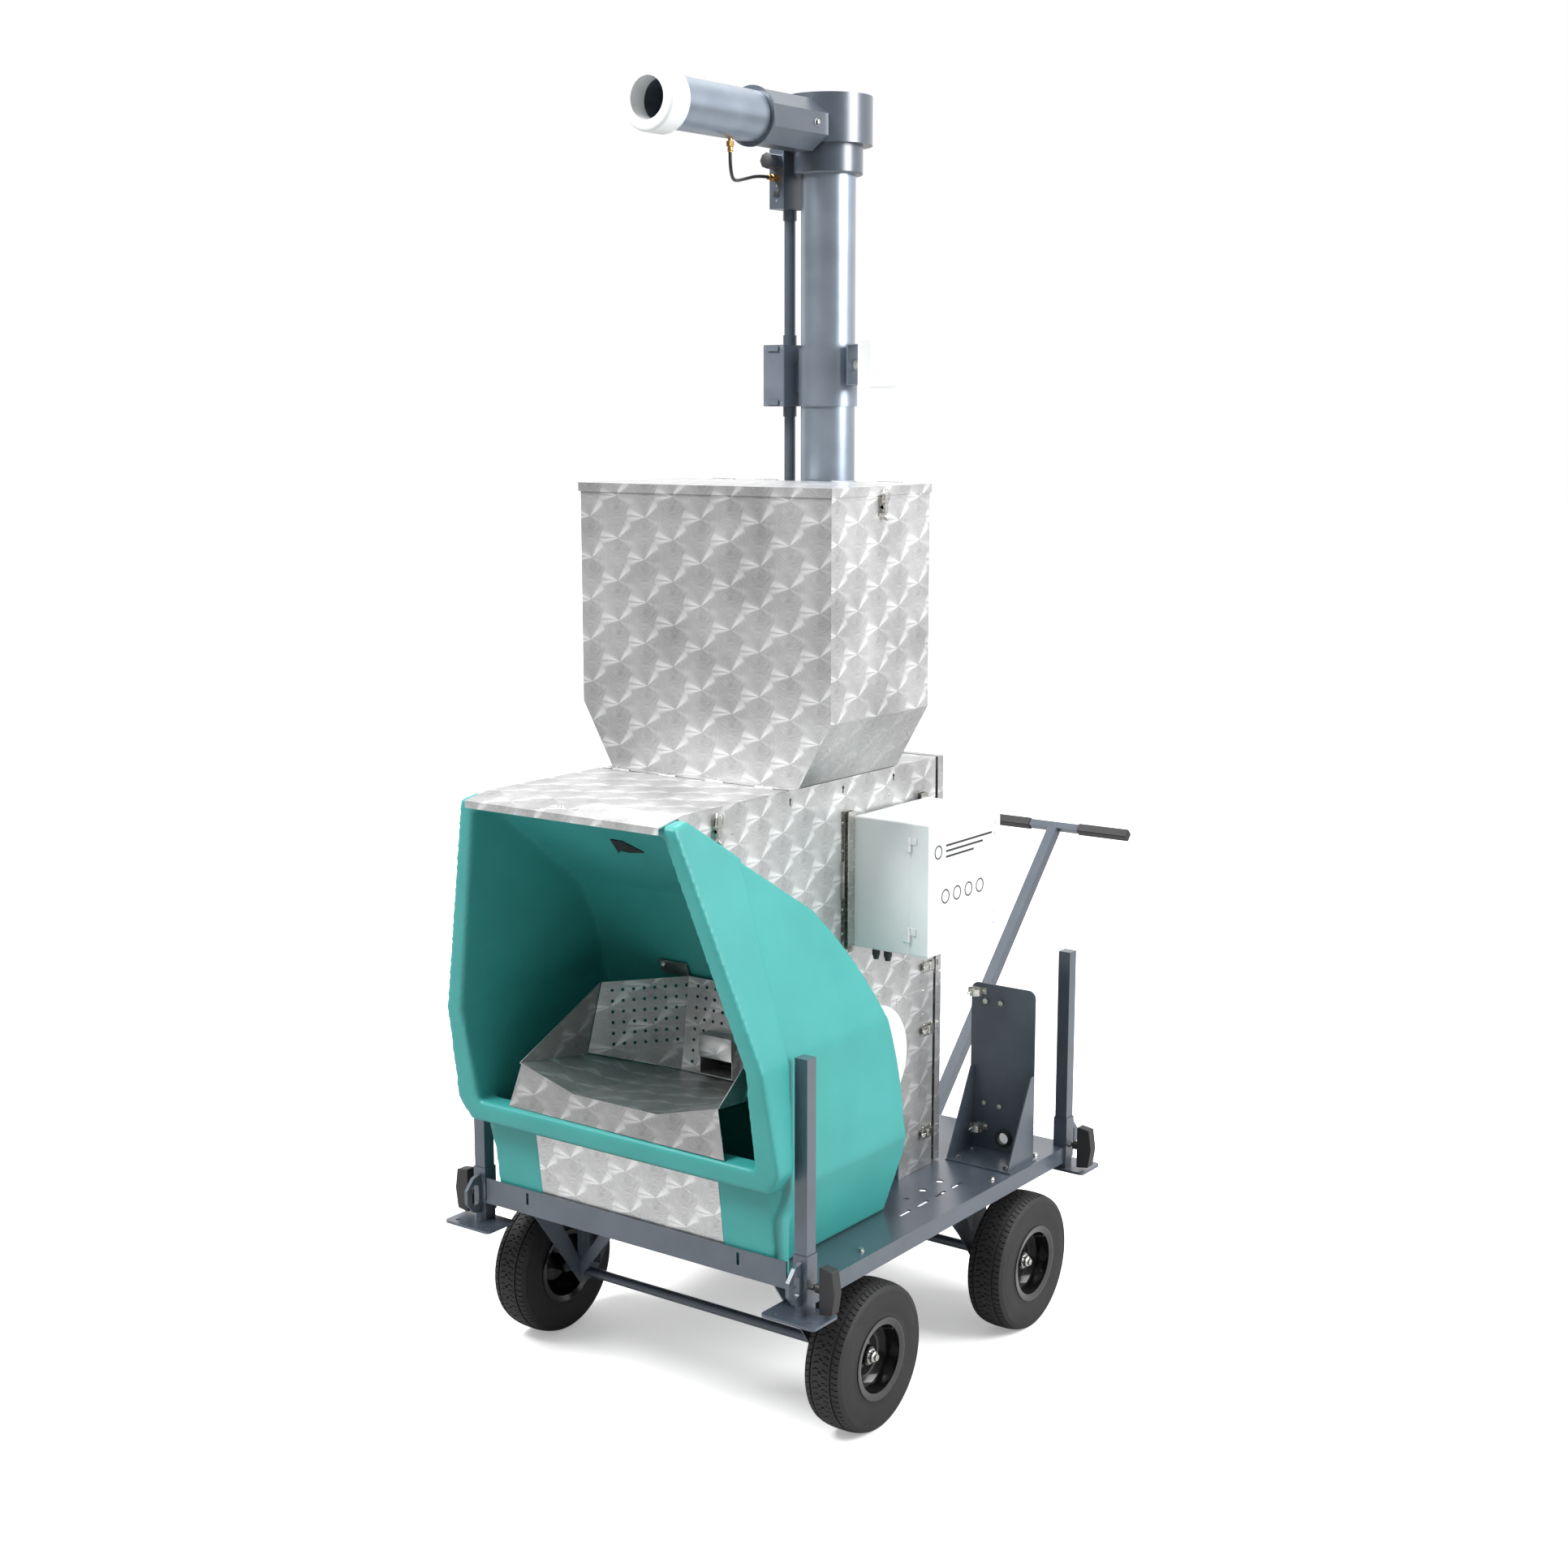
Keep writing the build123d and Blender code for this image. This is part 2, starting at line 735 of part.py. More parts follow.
# --------------------------------------------------------------------- hopper
lid_z = hopper_top + lid_height
wall_top = lid_z - skin - 2
mid_y = (hopper_front + hopper_rear) / 2
throat_half = 64
throat_y = (-196, -28)
throat_z = (1440, 1662)
drum_y = (throat_y[0] + throat_y[1]) / 2
drum_z = 1550
drum_r = 79
journal_r = 10

with BuildPart() as hopper_shell:
    slab_y(
        both([(hopper_half, wall_top), (hopper_half, hopper_knee), (tower_half, tower_top + 2)]),
        (hopper_front, hopper_rear),
    )
    slab_y(
        both([
            (hopper_half - skin, wall_top + 1),
            (hopper_half - skin, hopper_knee + 0.5),
            (tower_half - skin, tower_top + 1),
        ]),
        (hopper_front + skin, hopper_rear - skin),
        mode=Mode.SUBTRACT,
    )
    # funnel down to the dispenser throat
    with BuildSketch(Plane.XY.offset(throat_z[1] - 2)) as funnel_low:
        with Locations((0, drum_y)):
            Rectangle(2 * throat_half, throat_y[1] - throat_y[0])
    with BuildSketch(Plane.XY.offset(tower_top + 12)) as funnel_high:
        with Locations((0, mid_y)):
            Rectangle(2 * tower_half - 1, hopper_rear - hopper_front - 1)
    loft([funnel_low.sketch.face(), funnel_high.sketch.face()], mode=Mode.ADD)
    block((-throat_half, throat_half), throat_y, throat_z)
    with BuildSketch(Plane.XY.offset(throat_z[1] - 2)) as bore_low:
        with Locations((0, drum_y)):
            Rectangle(2 * (throat_half - skin), throat_y[1] - throat_y[0] - 2 * skin)
    with BuildSketch(Plane.XY.offset(tower_top + 15)) as bore_high:
        with Locations((0, mid_y)):
            Rectangle(2 * (tower_half - skin), hopper_rear - hopper_front - 2 * skin)
    loft([bore_low.sketch.face(), bore_high.sketch.face()], mode=Mode.SUBTRACT)
    block(
        (-throat_half + skin, throat_half - skin),
        (throat_y[0] + skin, throat_y[1] - skin),
        (throat_z[0] + skin, throat_z[1] + 5),
        mode=Mode.SUBTRACT,
    )
    block((-57, 57), (-162, -63), (throat_z[0] - 1, throat_z[0] + 5), mode=Mode.SUBTRACT)
    rod_x((-throat_half - 1, throat_half + 1), drum_y, drum_z, journal_r + run_gap, mode=Mode.SUBTRACT)
    # rear hinge knuckles
    for x in (-300, -140, 140, 300):
        rod_x((x - 40, x - 0.5), hopper_rear + 7, lid_z - 3, 6)
        block((x - 40, x - 0.5), (hopper_rear - 1, hopper_rear + 5), (lid_z - 30, lid_z - 4))
        rod_x((x - 40, x + 40), hopper_rear + 7, lid_z - 3, 3)
save(hopper_shell, "hopper_shell")

hinge_y = hopper_rear + 7
hinge_z = lid_z - 3
hinge_x = (-300, -140, 140, 300)
lid_half = hopper_half + lid_lap

with BuildPart() as hopper_lid:
    block((-lid_half, lid_half), (hopper_front - lid_lap, hopper_rear + 0.5), (lid_z - lid_height, lid_z))
    block(
        (-lid_half + skin, lid_half - skin),
        (hopper_front - lid_lap + skin, hopper_rear + 1),
        (lid_z - lid_height - 1, lid_z - skin + 0.5),
        mode=Mode.SUBTRACT,
    )
    for x in hinge_x:
        rod_x((x + 0.5, x + 40), hinge_y, hinge_z, 6)
        block((x + 0.5, x + 40), (hopper_rear - 3, hinge_y), (lid_z - 2, lid_z))
        rod_x((x, x + 41), hinge_y, hinge_z, 3 + run_gap, mode=Mode.SUBTRACT)
save(hopper_lid, "hopper_lid")

with BuildPart() as feed_drum:
    rod_x((-58, 58), drum_y, drum_z, drum_r)
    with BuildSketch(Plane.YZ.offset(-54)):
        with Locations((drum_y, drum_z)):
            with PolarLocations(58, 6):
                Circle(20)
    extrude(amount=108, mode=Mode.SUBTRACT)
    for k in range(6):
        turn = radians(60 * k)
        rod_x((-54, 54), drum_y + 72 * cos(turn), drum_z + 72 * sin(turn), 16, mode=Mode.SUBTRACT)
    rod_x((-throat_half - 12, throat_half + 12), drum_y, drum_z, journal_r)
save(feed_drum, "feed_drum")

drop_y = (-165, -60)
with BuildPart() as feed_chute:
    slab_x(
        (
            (-345, chute_low),
            (-345, chute_high),
            (drop_y[0], chute_high),
            (drop_y[0], throat_z[0]),
            (drop_y[1], throat_z[0]),
            (drop_y[1], 975),
            (-172, chute_low),
        ),
        (-chute_half, chute_half),
    )
    slab_x(
        (
            (-350, chute_low + skin),
            (-350, chute_high - skin),
            (drop_y[0] + skin, chute_high - skin),
            (drop_y[0] + skin, throat_z[0] + 1),
            (drop_y[1] - skin, throat_z[0] + 1),
            (drop_y[1] - skin, 976.5),
            (-173, chute_low + skin),
        ),
        (-chute_half + skin, chute_half - skin),
        mode=Mode.SUBTRACT,
    )
save(feed_chute, "feed_chute")

# ---------------------------------------------------------------------- tower
low_front = 119
low_top = 766
fan_y = -15
fan_z = 930
fan_r = 125
cover_y = -67
cover_r = 164
cover_out = 45
frame_y = tower_rear - skin
pin_x = -tower_half - 8
pin_y = 310
pin_small = 4
knuckle = 7
door_z = ((deck_top + 6, door_split - 2), (door_split + 2, tower_top - 1))
key_slots = ((-439, 1745), (-186, 1745), (73, 1745))

with BuildPart() as tower_shell:
    for side in (-1, 1):
        with BuildSketch(Plane.YZ.offset(side * tower_half)):
            with BuildLine():
                back_curve(1.4, 0.8)
                Polyline(
                    (back_crest[0] + 1.4, back_crest[1] + 0.8),
                    (back_crest[0] + 22, tower_top),
                    (tower_rear, tower_top),
                    (tower_rear, deck_top + 0.8),
                    (back_low[0] + 1.4, back_low[1] + 0.8),
                )
            make_face()
        extrude(amount=-side * skin)
    block((-tower_half, tower_half), (back_knee[0] - 20, low_front), (deck_top - 1, low_top), mode=Mode.SUBTRACT)
    block((-tower_half, tower_half), (hopper_front - 45, tower_rear), (tower_top - skin, tower_top))
    block((-tower_half, tower_half), (hopper_front - 45, hopper_front), (tower_top, tower_top + 2))
    block((-326, 326), (hopper_front + 9, hopper_rear - 9), (tower_top - 5, tower_top + 5), mode=Mode.SUBTRACT)
    rod_z(0, stack_y, (tower_top - 5, tower_top + 5), stack_r - stack_wall, mode=Mode.SUBTRACT)
    # lower front panel and the floor flange
    block((-tower_half, tower_half), (low_front, low_front + skin), (deck_top, low_top))
    block((-tower_half, tower_half), (low_front, low_front + 30), (deck_top, deck_top + skin))
    # rear door frame
    block((-tower_half, tower_half), (frame_y, tower_rear), (deck_top, tower_top))
    for low, high in door_z:
        block((-300, 300), (frame_y - 1, tower_rear + 1), (low + 30, high - 32), mode=Mode.SUBTRACT)
    # fan inlet, keyhole slots, round holes and the blank plate
    rod_x((tower_half - 5, tower_half + 5), fan_y, fan_z, 70, mode=Mode.SUBTRACT)
    for side in (-1, 1):
        for y, z in key_slots:
            rod_x(sorted((side * (tower_half - 5), side * (tower_half + 5))), y, z + 6, 5, mode=Mode.SUBTRACT)
            block(
                sorted((side * (tower_half - 5), side * (tower_half + 5))),
                (y - 2.5, y + 2.5),
                (z - 10, z + 6),
                mode=Mode.SUBTRACT,
            )
        for y, z in ((52, 1697), (0, 1107)):
            rod_x(sorted((side * (tower_half - 5), side * (tower_half + 5))), y, z, 4, mode=Mode.SUBTRACT)
    block((tower_half, tower_half + 2), (97, 249), (988, 1074))
    # door hinge pins with their end knuckles and leaves
    for low, high in door_z:
        for z in (low + 90, high - 90):
            rod_z(pin_x, pin_y, (z - 44, z + 44), pin_small)
            for tip in ((z - 44, z - 30.5), (z + 30.5, z + 44)):
                rod_z(pin_x, pin_y, tip, knuckle)
                block((-tower_half - 4, -tower_half), (285, pin_y), tip)
    # hood cover hinge knuckles
    for x in (-255, -85, 85, 255):
        rod_x((x - 30, x - 0.5), hopper_front - 52, tower_top + 1, 5)
        rod_x((x - 30, x + 30), hopper_front - 52, tower_top + 1, 2.5)
        block((x - 30, x - 0.5), (hopper_front - 52, hopper_front - 44), (tower_top - 2, tower_top + 2))
save(tower_shell, "tower_shell")

cover_hinge_y = hopper_front - 52
cover_hinge_z = tower_top + 1
cover_bend = -913
cover_front = -1008
with BuildPart() as hood_cover:
    slab_x(
        (
            (cover_hinge_y - 6, cover_hinge_z - 0.7),
            (cover_bend, cover_hinge_z - 0.7),
            (cover_front, 1760),
            (cover_front, 1743),
            (cover_front + skin, 1743),
            (cover_front + skin, 1757.5),
            (cover_bend, cover_hinge_z - 0.7 - 0.2),
        ),
        (-tower_half, tower_half),
    )
    slab_x(
        (
            (cover_hinge_y - 6, cover_hinge_z + 2),
            (cover_bend - 1, cover_hinge_z + 2),
            (cover_front, 1762.5),
            (cover_front, 1757),
            (cover_bend, cover_hinge_z - 0.5),
            (cover_hinge_y - 6, cover_hinge_z - 0.5),
        ),
        (-tower_half, tower_half),
    )
    for x in (-255, -85, 85, 255):
        rod_x((x + 0.5, x + 30), cover_hinge_y, cover_hinge_z, 5)
        block((x + 0.5, x + 30), (cover_hinge_y - 8, cover_hinge_y), (cover_hinge_z - 0.5, cover_hinge_z + 2))
        rod_x((x, x + 31), cover_hinge_y, cover_hinge_z, 2.5 + run_gap, mode=Mode.SUBTRACT)
    for x in (-34, 23):
        rod_z(x, -957, (1768, 1777), 7)
save(hood_cover, "hood_cover")

for label, (low, high) in zip(("lower_rear_door", "upper_rear_door"), door_z):
    with BuildPart() as rear_door:
        block((-tower_half, tower_half), (tower_rear + 14, tower_rear + 44), (low, high))
        block(
            (-tower_half + skin, tower_half - skin),
            (tower_rear, tower_rear + 44 - skin),
            (low + skin, high - skin),
            mode=Mode.SUBTRACT,
        )
        for z in (low + 90, high - 90):
            rod_z(pin_x, pin_y, (z - 30, z + 30), knuckle)
            block((-tower_half - 4, -tower_half + 1), (pin_y, pin_y + 25), (z - 30, z + 30))
            rod_z(pin_x, pin_y, (z - 31, z + 31), pin_small + run_gap, mode=Mode.SUBTRACT)
        for z in (1142, 943, 617):
            if low < z < high:
                block((tower_half, tower_half + 5), (tower_rear + 20, tower_rear + 36), (z - 9, z + 9))
    save(rear_door, label)

with BuildPart() as side_fan_cover:
    rod_x((tower_half, tower_half + cover_out), cover_y, fan_z, cover_r)
    fillet(side_fan_cover.edges().filter_by(GeomType.CIRCLE).sort_by(Axis.X)[-1:], 12)
    rod_x((tower_half - 1, tower_half + cover_out - 5), cover_y, fan_z, cover_r - 9, mode=Mode.SUBTRACT)
    with BuildSketch(Plane.YZ.offset(tower_half - 1)):
        with BuildLine():
            back_curve(1.4, 0.8)
            Polyline(
                (back_crest[0] + 1.4, back_crest[1] + 0.8),
                (-1100, back_crest[1]),
                (-1100, deck_top),
                (back_low[0] + 1.4, back_low[1] + 0.8),
            )
        make_face()
    extrude(amount=cover_out + 5, mode=Mode.SUBTRACT)
save(side_fan_cover, "side_fan_cover")

shaft_r = 8
fan_in = 170
fan_out = tower_half - skin - slip
with BuildPart() as fan_housing:
    rod_x((fan_in, fan_out), fan_y, fan_z, fan_r)
    block((fan_in, fan_out), (fan_y + 40, fan_y + fan_r), (fan_z, 1300))
    rod_x((fan_in + 3, fan_out - 3), fan_y, fan_z, fan_r - 3, mode=Mode.SUBTRACT)
    block((fan_in + 3, fan_out - 3), (fan_y + 43, fan_y + fan_r - 3), (fan_z, 1301), mode=Mode.SUBTRACT)
    rod_x((fan_out - 5, fan_out + 5), fan_y, fan_z, 65, mode=Mode.SUBTRACT)
    rod_x((fan_in - 70, fan_in), fan_y, fan_z, 40)
    rod_x((fan_in - 40, fan_in + 5), fan_y, fan_z, shaft_r + run_gap, mode=Mode.SUBTRACT)
save(fan_housing, "fan_housing")

with BuildPart() as fan_impeller:
    rod_x((fan_in - 39, fan_in + 60), fan_y, fan_z, shaft_r)
    rod_x((fan_in + 12, fan_in + 18), fan_y, fan_z, 100)
    rod_x((fan_in + 12, fan_in + 60), fan_y, fan_z, 20)
    with BuildSketch(Plane.YZ.offset(fan_in + 16)):
        with Locations((fan_y, fan_z)):
            with PolarLocations(80, 12):
                Rectangle(44, 3, rotation=35)
    extrude(amount=80)
save(fan_impeller, "fan_impeller")

# -------------------------------------------------------------------- latches
lever_y = 285
lever_x = tower_half + 9
lever_z = (1142, 943, 617)
with BuildPart() as latches:
    for z in lever_z:
        block((tower_half, tower_half + 2.5), (245, 300), (z - 20, z + 20))
        for tip in ((z - 16, z - 12.5), (z + 12.5, z + 16)):
            block((tower_half, lever_x + 3), (lever_y - 4, lever_y + 5), tip)
        rod_z(lever_x, lever_y, (z - 16, z + 16), 2.5)
    # hopper lid draw latch
    block((hopper_half, hopper_half + 2.5), (-175, -139), (lid_z - 80, lid_z - lid_height - 2))
    block((hopper_half, hopper_half + 12), (-168, -146), (lid_z - 74, lid_z - 44))
    rod_y(hopper_half + 11, (-172, -142), lid_z - 42, 3)
    block((hopper_half + 8, hopper_half + 14), (-164, -150), (lid_z - 72, lid_z - 22))
    block((hopper_half + lid_lap + 0.5, hopper_half + 12), (-166, -148), (lid_z - 30, lid_z - 22))
    # hood cover draw latch
    block((tower_half, tower_half + 2.5), (-789, -753), (1695, 1750))
    block((tower_half, tower_half + 12), (-782, -760), (1699, 1730))
    rod_y(tower_half + 11, (-786, -756), 1731, 3)
    block((tower_half + 8, tower_half + 14), (-778, -764), (1701, 1758))
save(latches, "latches")

with BuildPart() as latch_levers:
    for z in lever_z:
        block((lever_x - 4, lever_x + 4), (lever_y - 52, lever_y + 4), (z - 12, z + 12))
        rod_z(lever_x, lever_y, (z - 13, z + 13), 2.5 + run_gap, mode=Mode.SUBTRACT)
        block((lever_x - 5, lever_x + 1), (lever_y - 60, lever_y - 8), (z - 8, z + 8), mode=Mode.SUBTRACT)
save(latch_levers, "latch_levers")

# ---------------------------------------------------------------- control box
box_in = 352
box_seam = 538
box_out = 599
box_y = (-150, 238)
box_z = (1287, 1666)
box_wall = 4
box_hinge_y = box_y[0] - 6

with BuildPart() as box_frame:
    for y in ((-181, -147), (200, 234)):
        block((tower_half, box_in), y, (1274, 1681))
        block((tower_half + 2.5, box_in - 2.5), (y[0] - 1, y[1] - 3), (1270, 1690), mode=Mode.SUBTRACT)
    for z in ((1307, 1431), (1539, 1684)):
        block((tower_half, tower_half + 2), (-197, -181), z)
save(box_frame, "box_frame")

with BuildPart() as control_box:
    block((box_in, box_seam), box_y, box_z)
    fillet(control_box.edges().filter_by(Axis.X), 6)
    block(
        (box_in + box_wall, box_seam + 1),
        (box_y[0] + box_wall, box_y[1] - box_wall),
        (box_z[0] + box_wall, box_z[1] - box_wall),
        mode=Mode.SUBTRACT,
    )
    for z in (box_z[0] + 60, box_z[1] - 60):
        rod_z(box_seam + slip, box_hinge_y, (z - 20, z - 0.5), 5)
        rod_z(box_seam + slip, box_hinge_y, (z - 20, z + 20), 2.5)
        block((box_seam - 22, box_seam - 1), (box_y[0] - 4, box_y[0]), (z - 20, z - 0.5))
    for x in (400, 440):
        rod_z(x, -110, (box_z[0] - 22, box_z[0]), 11)
save(control_box, "control_box")

with BuildPart() as box_door:
    block((box_seam + slip, box_out), box_y, box_z)
    fillet(box_door.edges().filter_by(Axis.X), 6)
    fillet(box_door.edges().group_by(Axis.X)[-1], 3)
    block(
        (box_seam, box_out - box_wall),
        (box_y[0] + box_wall, box_y[1] - box_wall),
        (box_z[0] + box_wall, box_z[1] - box_wall),
        mode=Mode.SUBTRACT,
    )
    for z in (box_z[0] + 60, box_z[1] - 60):
        rod_z(box_seam + slip, box_hinge_y, (z + 0.5, z + 20), 5)
        block((box_seam + 2.5, box_seam + 22), (box_y[0] - 4, box_y[0] + 1), (z + 0.5, z + 20))
        rod_z(box_seam + slip, box_hinge_y, (z - 1, z + 21), 2.5 + run_gap, mode=Mode.SUBTRACT)
    for z in (box_z[0] + 75, box_z[1] - 75):
        rod_x((box_out - 1, box_out + 2), box_y[1] - 24, z, 9)
save(box_door, "box_door")

# -------------------------------------------------------------- bottle bracket
plate_x = (347, 574)
plate_y = 512
base_y = 354
upright_top = 1043
with BuildPart() as bottle_bracket:
    block((355, 586), (base_y, plate_y), (deck_top, deck_top + 4))
    with BuildSketch(Plane.XZ.offset(-plate_y)):
        with BuildLine():
            Polyline(
                (plate_x[0], deck_top),
                (plate_x[0], upright_top),
                (plate_x[1], upright_top),
                (plate_x[1], deck_top),
                close=True,
            )
        bracket_face = make_face()
        fillet(bracket_face.vertices().filter_by_position(Axis.Y, upright_top - 1, upright_top + 1), 25)
        with Locations((399, 987), (454, 988), (399, 658), (455, 655)):
            Circle(4.5, mode=Mode.SUBTRACT)
        with Locations((471, 556)):
            Circle(22, mode=Mode.SUBTRACT)
    extrude(amount=-4)
    for x in (355, 570):
        slab_x(
            ((base_y + 4, deck_top), (plate_y + 4, deck_top), (plate_y + 4, 775), (plate_y - 16, 775)),
            (x, x + 4),
        )
    for x, y in ((385, 391), (385, 475), (548, 390), (548, 475)):
        rod_z(x, y, (deck_top + 4, deck_top + 10), 8)
save(bottle_bracket, "bottle_bracket")

with BuildPart() as bracket_clamps:
    for x, z in ((plate_x[0] + 26, 1019), (plate_x[0] + 37, 582)):
        block((x - 14, x + 28), (plate_y - 2.5, plate_y), (z - 10, z + 10))
        rod_z(x, plate_y - 26, (z - 10, z + 10), 23.8)
        rod_z(x, plate_y - 26, (z - 11, z + 11), 21, mode=Mode.SUBTRACT)
        block((x - 32, x - 4), (plate_y - 62, plate_y - 26), (z - 11, z + 11), mode=Mode.SUBTRACT)
save(bracket_clamps, "bracket_clamps")

# ------------------------------------------------------------ stack and its cap
with BuildPart() as stack_pipe:
    rod_z(0, stack_y, (tower_top, stack_top), stack_r)
    rod_z(0, stack_y, (tower_top, tower_top + 5), stack_r + 22)
    rod_z(0, stack_y, (tower_top - 1, stack_top + 1), stack_r - stack_wall, mode=Mode.SUBTRACT)
save(stack_pipe, "stack_pipe")

panel_in = 151
panel_out = 201
panel_z = (2862, 2995)
with BuildPart() as stack_coupling:
    rod_z(0, stack_y, coupling_z, stack_r + 7)
    block((-100, -70), (stack_y - 20, stack_y + 20), (2850, 2940))
    block((70, 102), (stack_y - 22, stack_y + 22), (2880, 2960))
    block((100, panel_in), (stack_y - 48, stack_y + 48), (panel_z[0] + 8, panel_z[1] - 8))
    block((103, panel_in + 1), (stack_y - 50, stack_y + 50), (panel_z[0] + 11, panel_z[1] - 11), mode=Mode.SUBTRACT)
    rod_z(0, stack_y, (coupling_z[0] - 1, coupling_z[1] + 1), stack_r + slip, mode=Mode.SUBTRACT)
save(stack_coupling, "stack_coupling")

with BuildPart() as antenna_panel:
    block((panel_in, panel_out), (stack_y - 66, stack_y + 66), panel_z)
    chamfer(antenna_panel.edges().group_by(Axis.X)[-1], 7)
save(antenna_panel, "antenna_panel")

with BuildPart() as stack_cap:
    rod_z(0, stack_y, socket_z, cap_r - 27.5)
    fillet(stack_cap.edges().filter_by(GeomType.CIRCLE).sort_by(Axis.Z)[:1], 6)
    rod_z(0, stack_y, (socket_z[1], cap_top), cap_r)
    rod_z(0, stack_y, (socket_z[1] + 5, cap_top - 5), cap_r - 5, mode=Mode.SUBTRACT)
    rod_z(0, stack_y, (socket_z[0] - 1, socket_z[1] + 6), stack_r + slip, mode=Mode.SUBTRACT)
    rod_y(0, (-60, stack_y), arm_z, arm_r - arm_wall, mode=Mode.SUBTRACT)
    for k in range(12):
        turn = radians(30 * k)
        rod_z(
            (cap_r - 5) * sin(turn), stack_y + (cap_r - 5) * cos(turn), (cap_top - 10, cap_top), 5,
        )
save(stack_cap, "stack_cap")

collar_front = -158
collar_half = 72.5
with BuildPart() as arm_collar:
    with BuildSketch(Plane.XZ.offset(-collar_front)):
        with Locations((0, arm_z)):
            RegularPolygon(collar_half, 8, major_radius=False, rotation=22.5)
    extrude(amount=collar_front - stack_y + 60)
    rod_y(0, (collar_front - 8, collar_front), arm_z, 82.5)
    rod_z(0, stack_y, (arm_z - 120, cap_top + 20), cap_r + slip, mode=Mode.SUBTRACT)
    rod_y(0, (collar_front - 9, stack_y), arm_z, arm_r - arm_wall, mode=Mode.SUBTRACT)
    rod_y(0, (collar_front - 9, collar_front + 18), arm_z, arm_r + slip, mode=Mode.SUBTRACT)
    rod_x((collar_half, collar_half + 6), 50, arm_z, 8)
save(arm_collar, "arm_collar")

tube_y = (mouth_front + mouth_length - 25, collar_front + 18)
with BuildPart() as arm_tube:
    rod_y(0, tube_y, arm_z, arm_r)
    rod_y(0, (tube_y[0] - 1, tube_y[1] + 1), arm_z, arm_r - arm_wall, mode=Mode.SUBTRACT)
save(arm_tube, "arm_tube")

with BuildPart() as arm_mouth:
    rod_y(0, (mouth_front, mouth_front + mouth_length), arm_z, mouth_r)
    fillet(arm_mouth.edges().filter_by(GeomType.CIRCLE), 12)
    rod_y(0, (tube_y[0], mouth_front + mouth_length + 1), arm_z, arm_r + slip, mode=Mode.SUBTRACT)
    rod_y(0, (mouth_front - 1, tube_y[0] + 1), arm_z, mouth_bore, mode=Mode.SUBTRACT)
save(arm_mouth, "arm_mouth")

# ------------------------------------------- sampling line, conduit and sensors
sensor_y = (146, 240)
sensor_z = (3380, 3552)
line_z = 3467
drop = (0, -259)
with BuildPart() as sensor_box:
    block((conduit_x - 27, conduit_x + 27), sensor_y, sensor_z)
    fillet(sensor_box.edges().filter_by(Axis.Z), 3)
    with BuildSketch(Plane.XZ.offset(-sensor_y[0])):
        with Locations((conduit_x, 3513)):
            RegularPolygon(23, 8)
    extrude(amount=50)
    for z in (3413, 3437):
        rod_y(conduit_x, (sensor_y[0] - 1.5, sensor_y[0]), z, 3)
save(sensor_box, "sensor_box")

with BuildPart() as brass_fittings:
    rod_y(conduit_x, (105, sensor_y[0]), line_z, 6)
    with BuildSketch(Plane.XZ.offset(-sensor_y[0])):
        with Locations((conduit_x, line_z)):
            RegularPolygon(11, 6)
    extrude(amount=22)
    rod_z(*drop, (3494, arm_z - arm_r - slip), 6)
    with BuildSketch(Plane.XY.offset(arm_z - arm_r - slip - 20)):
        with Locations(drop):
            RegularPolygon(11, 6)
    extrude(amount=14)
save(brass_fittings, "brass_fittings")

hose_r = 4.75
route = (
    (conduit_x, 105, line_z),
    (conduit_x, 55, line_z),
    (-115, -42, 3448),
    (-70, -135, 3433),
    (-30, -205, 3427),
    (-6, -246, 3437),
    (drop[0], drop[1], 3466),
    (drop[0], drop[1], 3494),
)
bends = []
for before, point, after in zip(route, route[1:], route[2:]):
    run_in = Vector(*point) - Vector(*before)
    run_out = Vector(*after) - Vector(*point)
    half_turn = radians(run_in.get_angle(run_out)) / 2
    bends.append(0.45 * min(run_in.length, run_out.length) * cos(half_turn) / sin(half_turn))
print("hose radii", [round(r, 1) for r in bends])
with BuildPart() as hose:
    with BuildLine() as hose_path:
        FilletPolyline(*route, radius=bends)
    with BuildSketch(Plane(origin=route[0], z_dir=hose_path.wire() % 0)):
        Circle(hose_r)
    sweep()
print("hose volume", hose.part.volume, "expected", 3.14159265 * hose_r**2 * hose_path.wire().length)
save(hose, "hose")

junction_z = (2809, 2988)
with BuildPart() as junction_box:
    block((conduit_x - 39, -100), (130, 250), junction_z)
    fillet(junction_box.edges().filter_by(Axis.Z), 5)
    for z in (junction_z[0] + 4, junction_z[1] - 18):
        block((conduit_x - 20, conduit_x + 20), (124, 131), (z, z + 14))
save(junction_box, "junction_box")

with BuildPart() as conduit:
    rod_z(conduit_x, stack_y, (tower_top, junction_z[0]), conduit_r)
    rod_z(conduit_x, stack_y, (junction_z[1], sensor_z[0]), conduit_r)
    for z in ((junction_z[0] - 30, junction_z[0]), (junction_z[1], junction_z[1] + 30), (sensor_z[0] - 30, sensor_z[0])):
        rod_z(conduit_x, stack_y, z, 20.5)
save(conduit, "conduit")

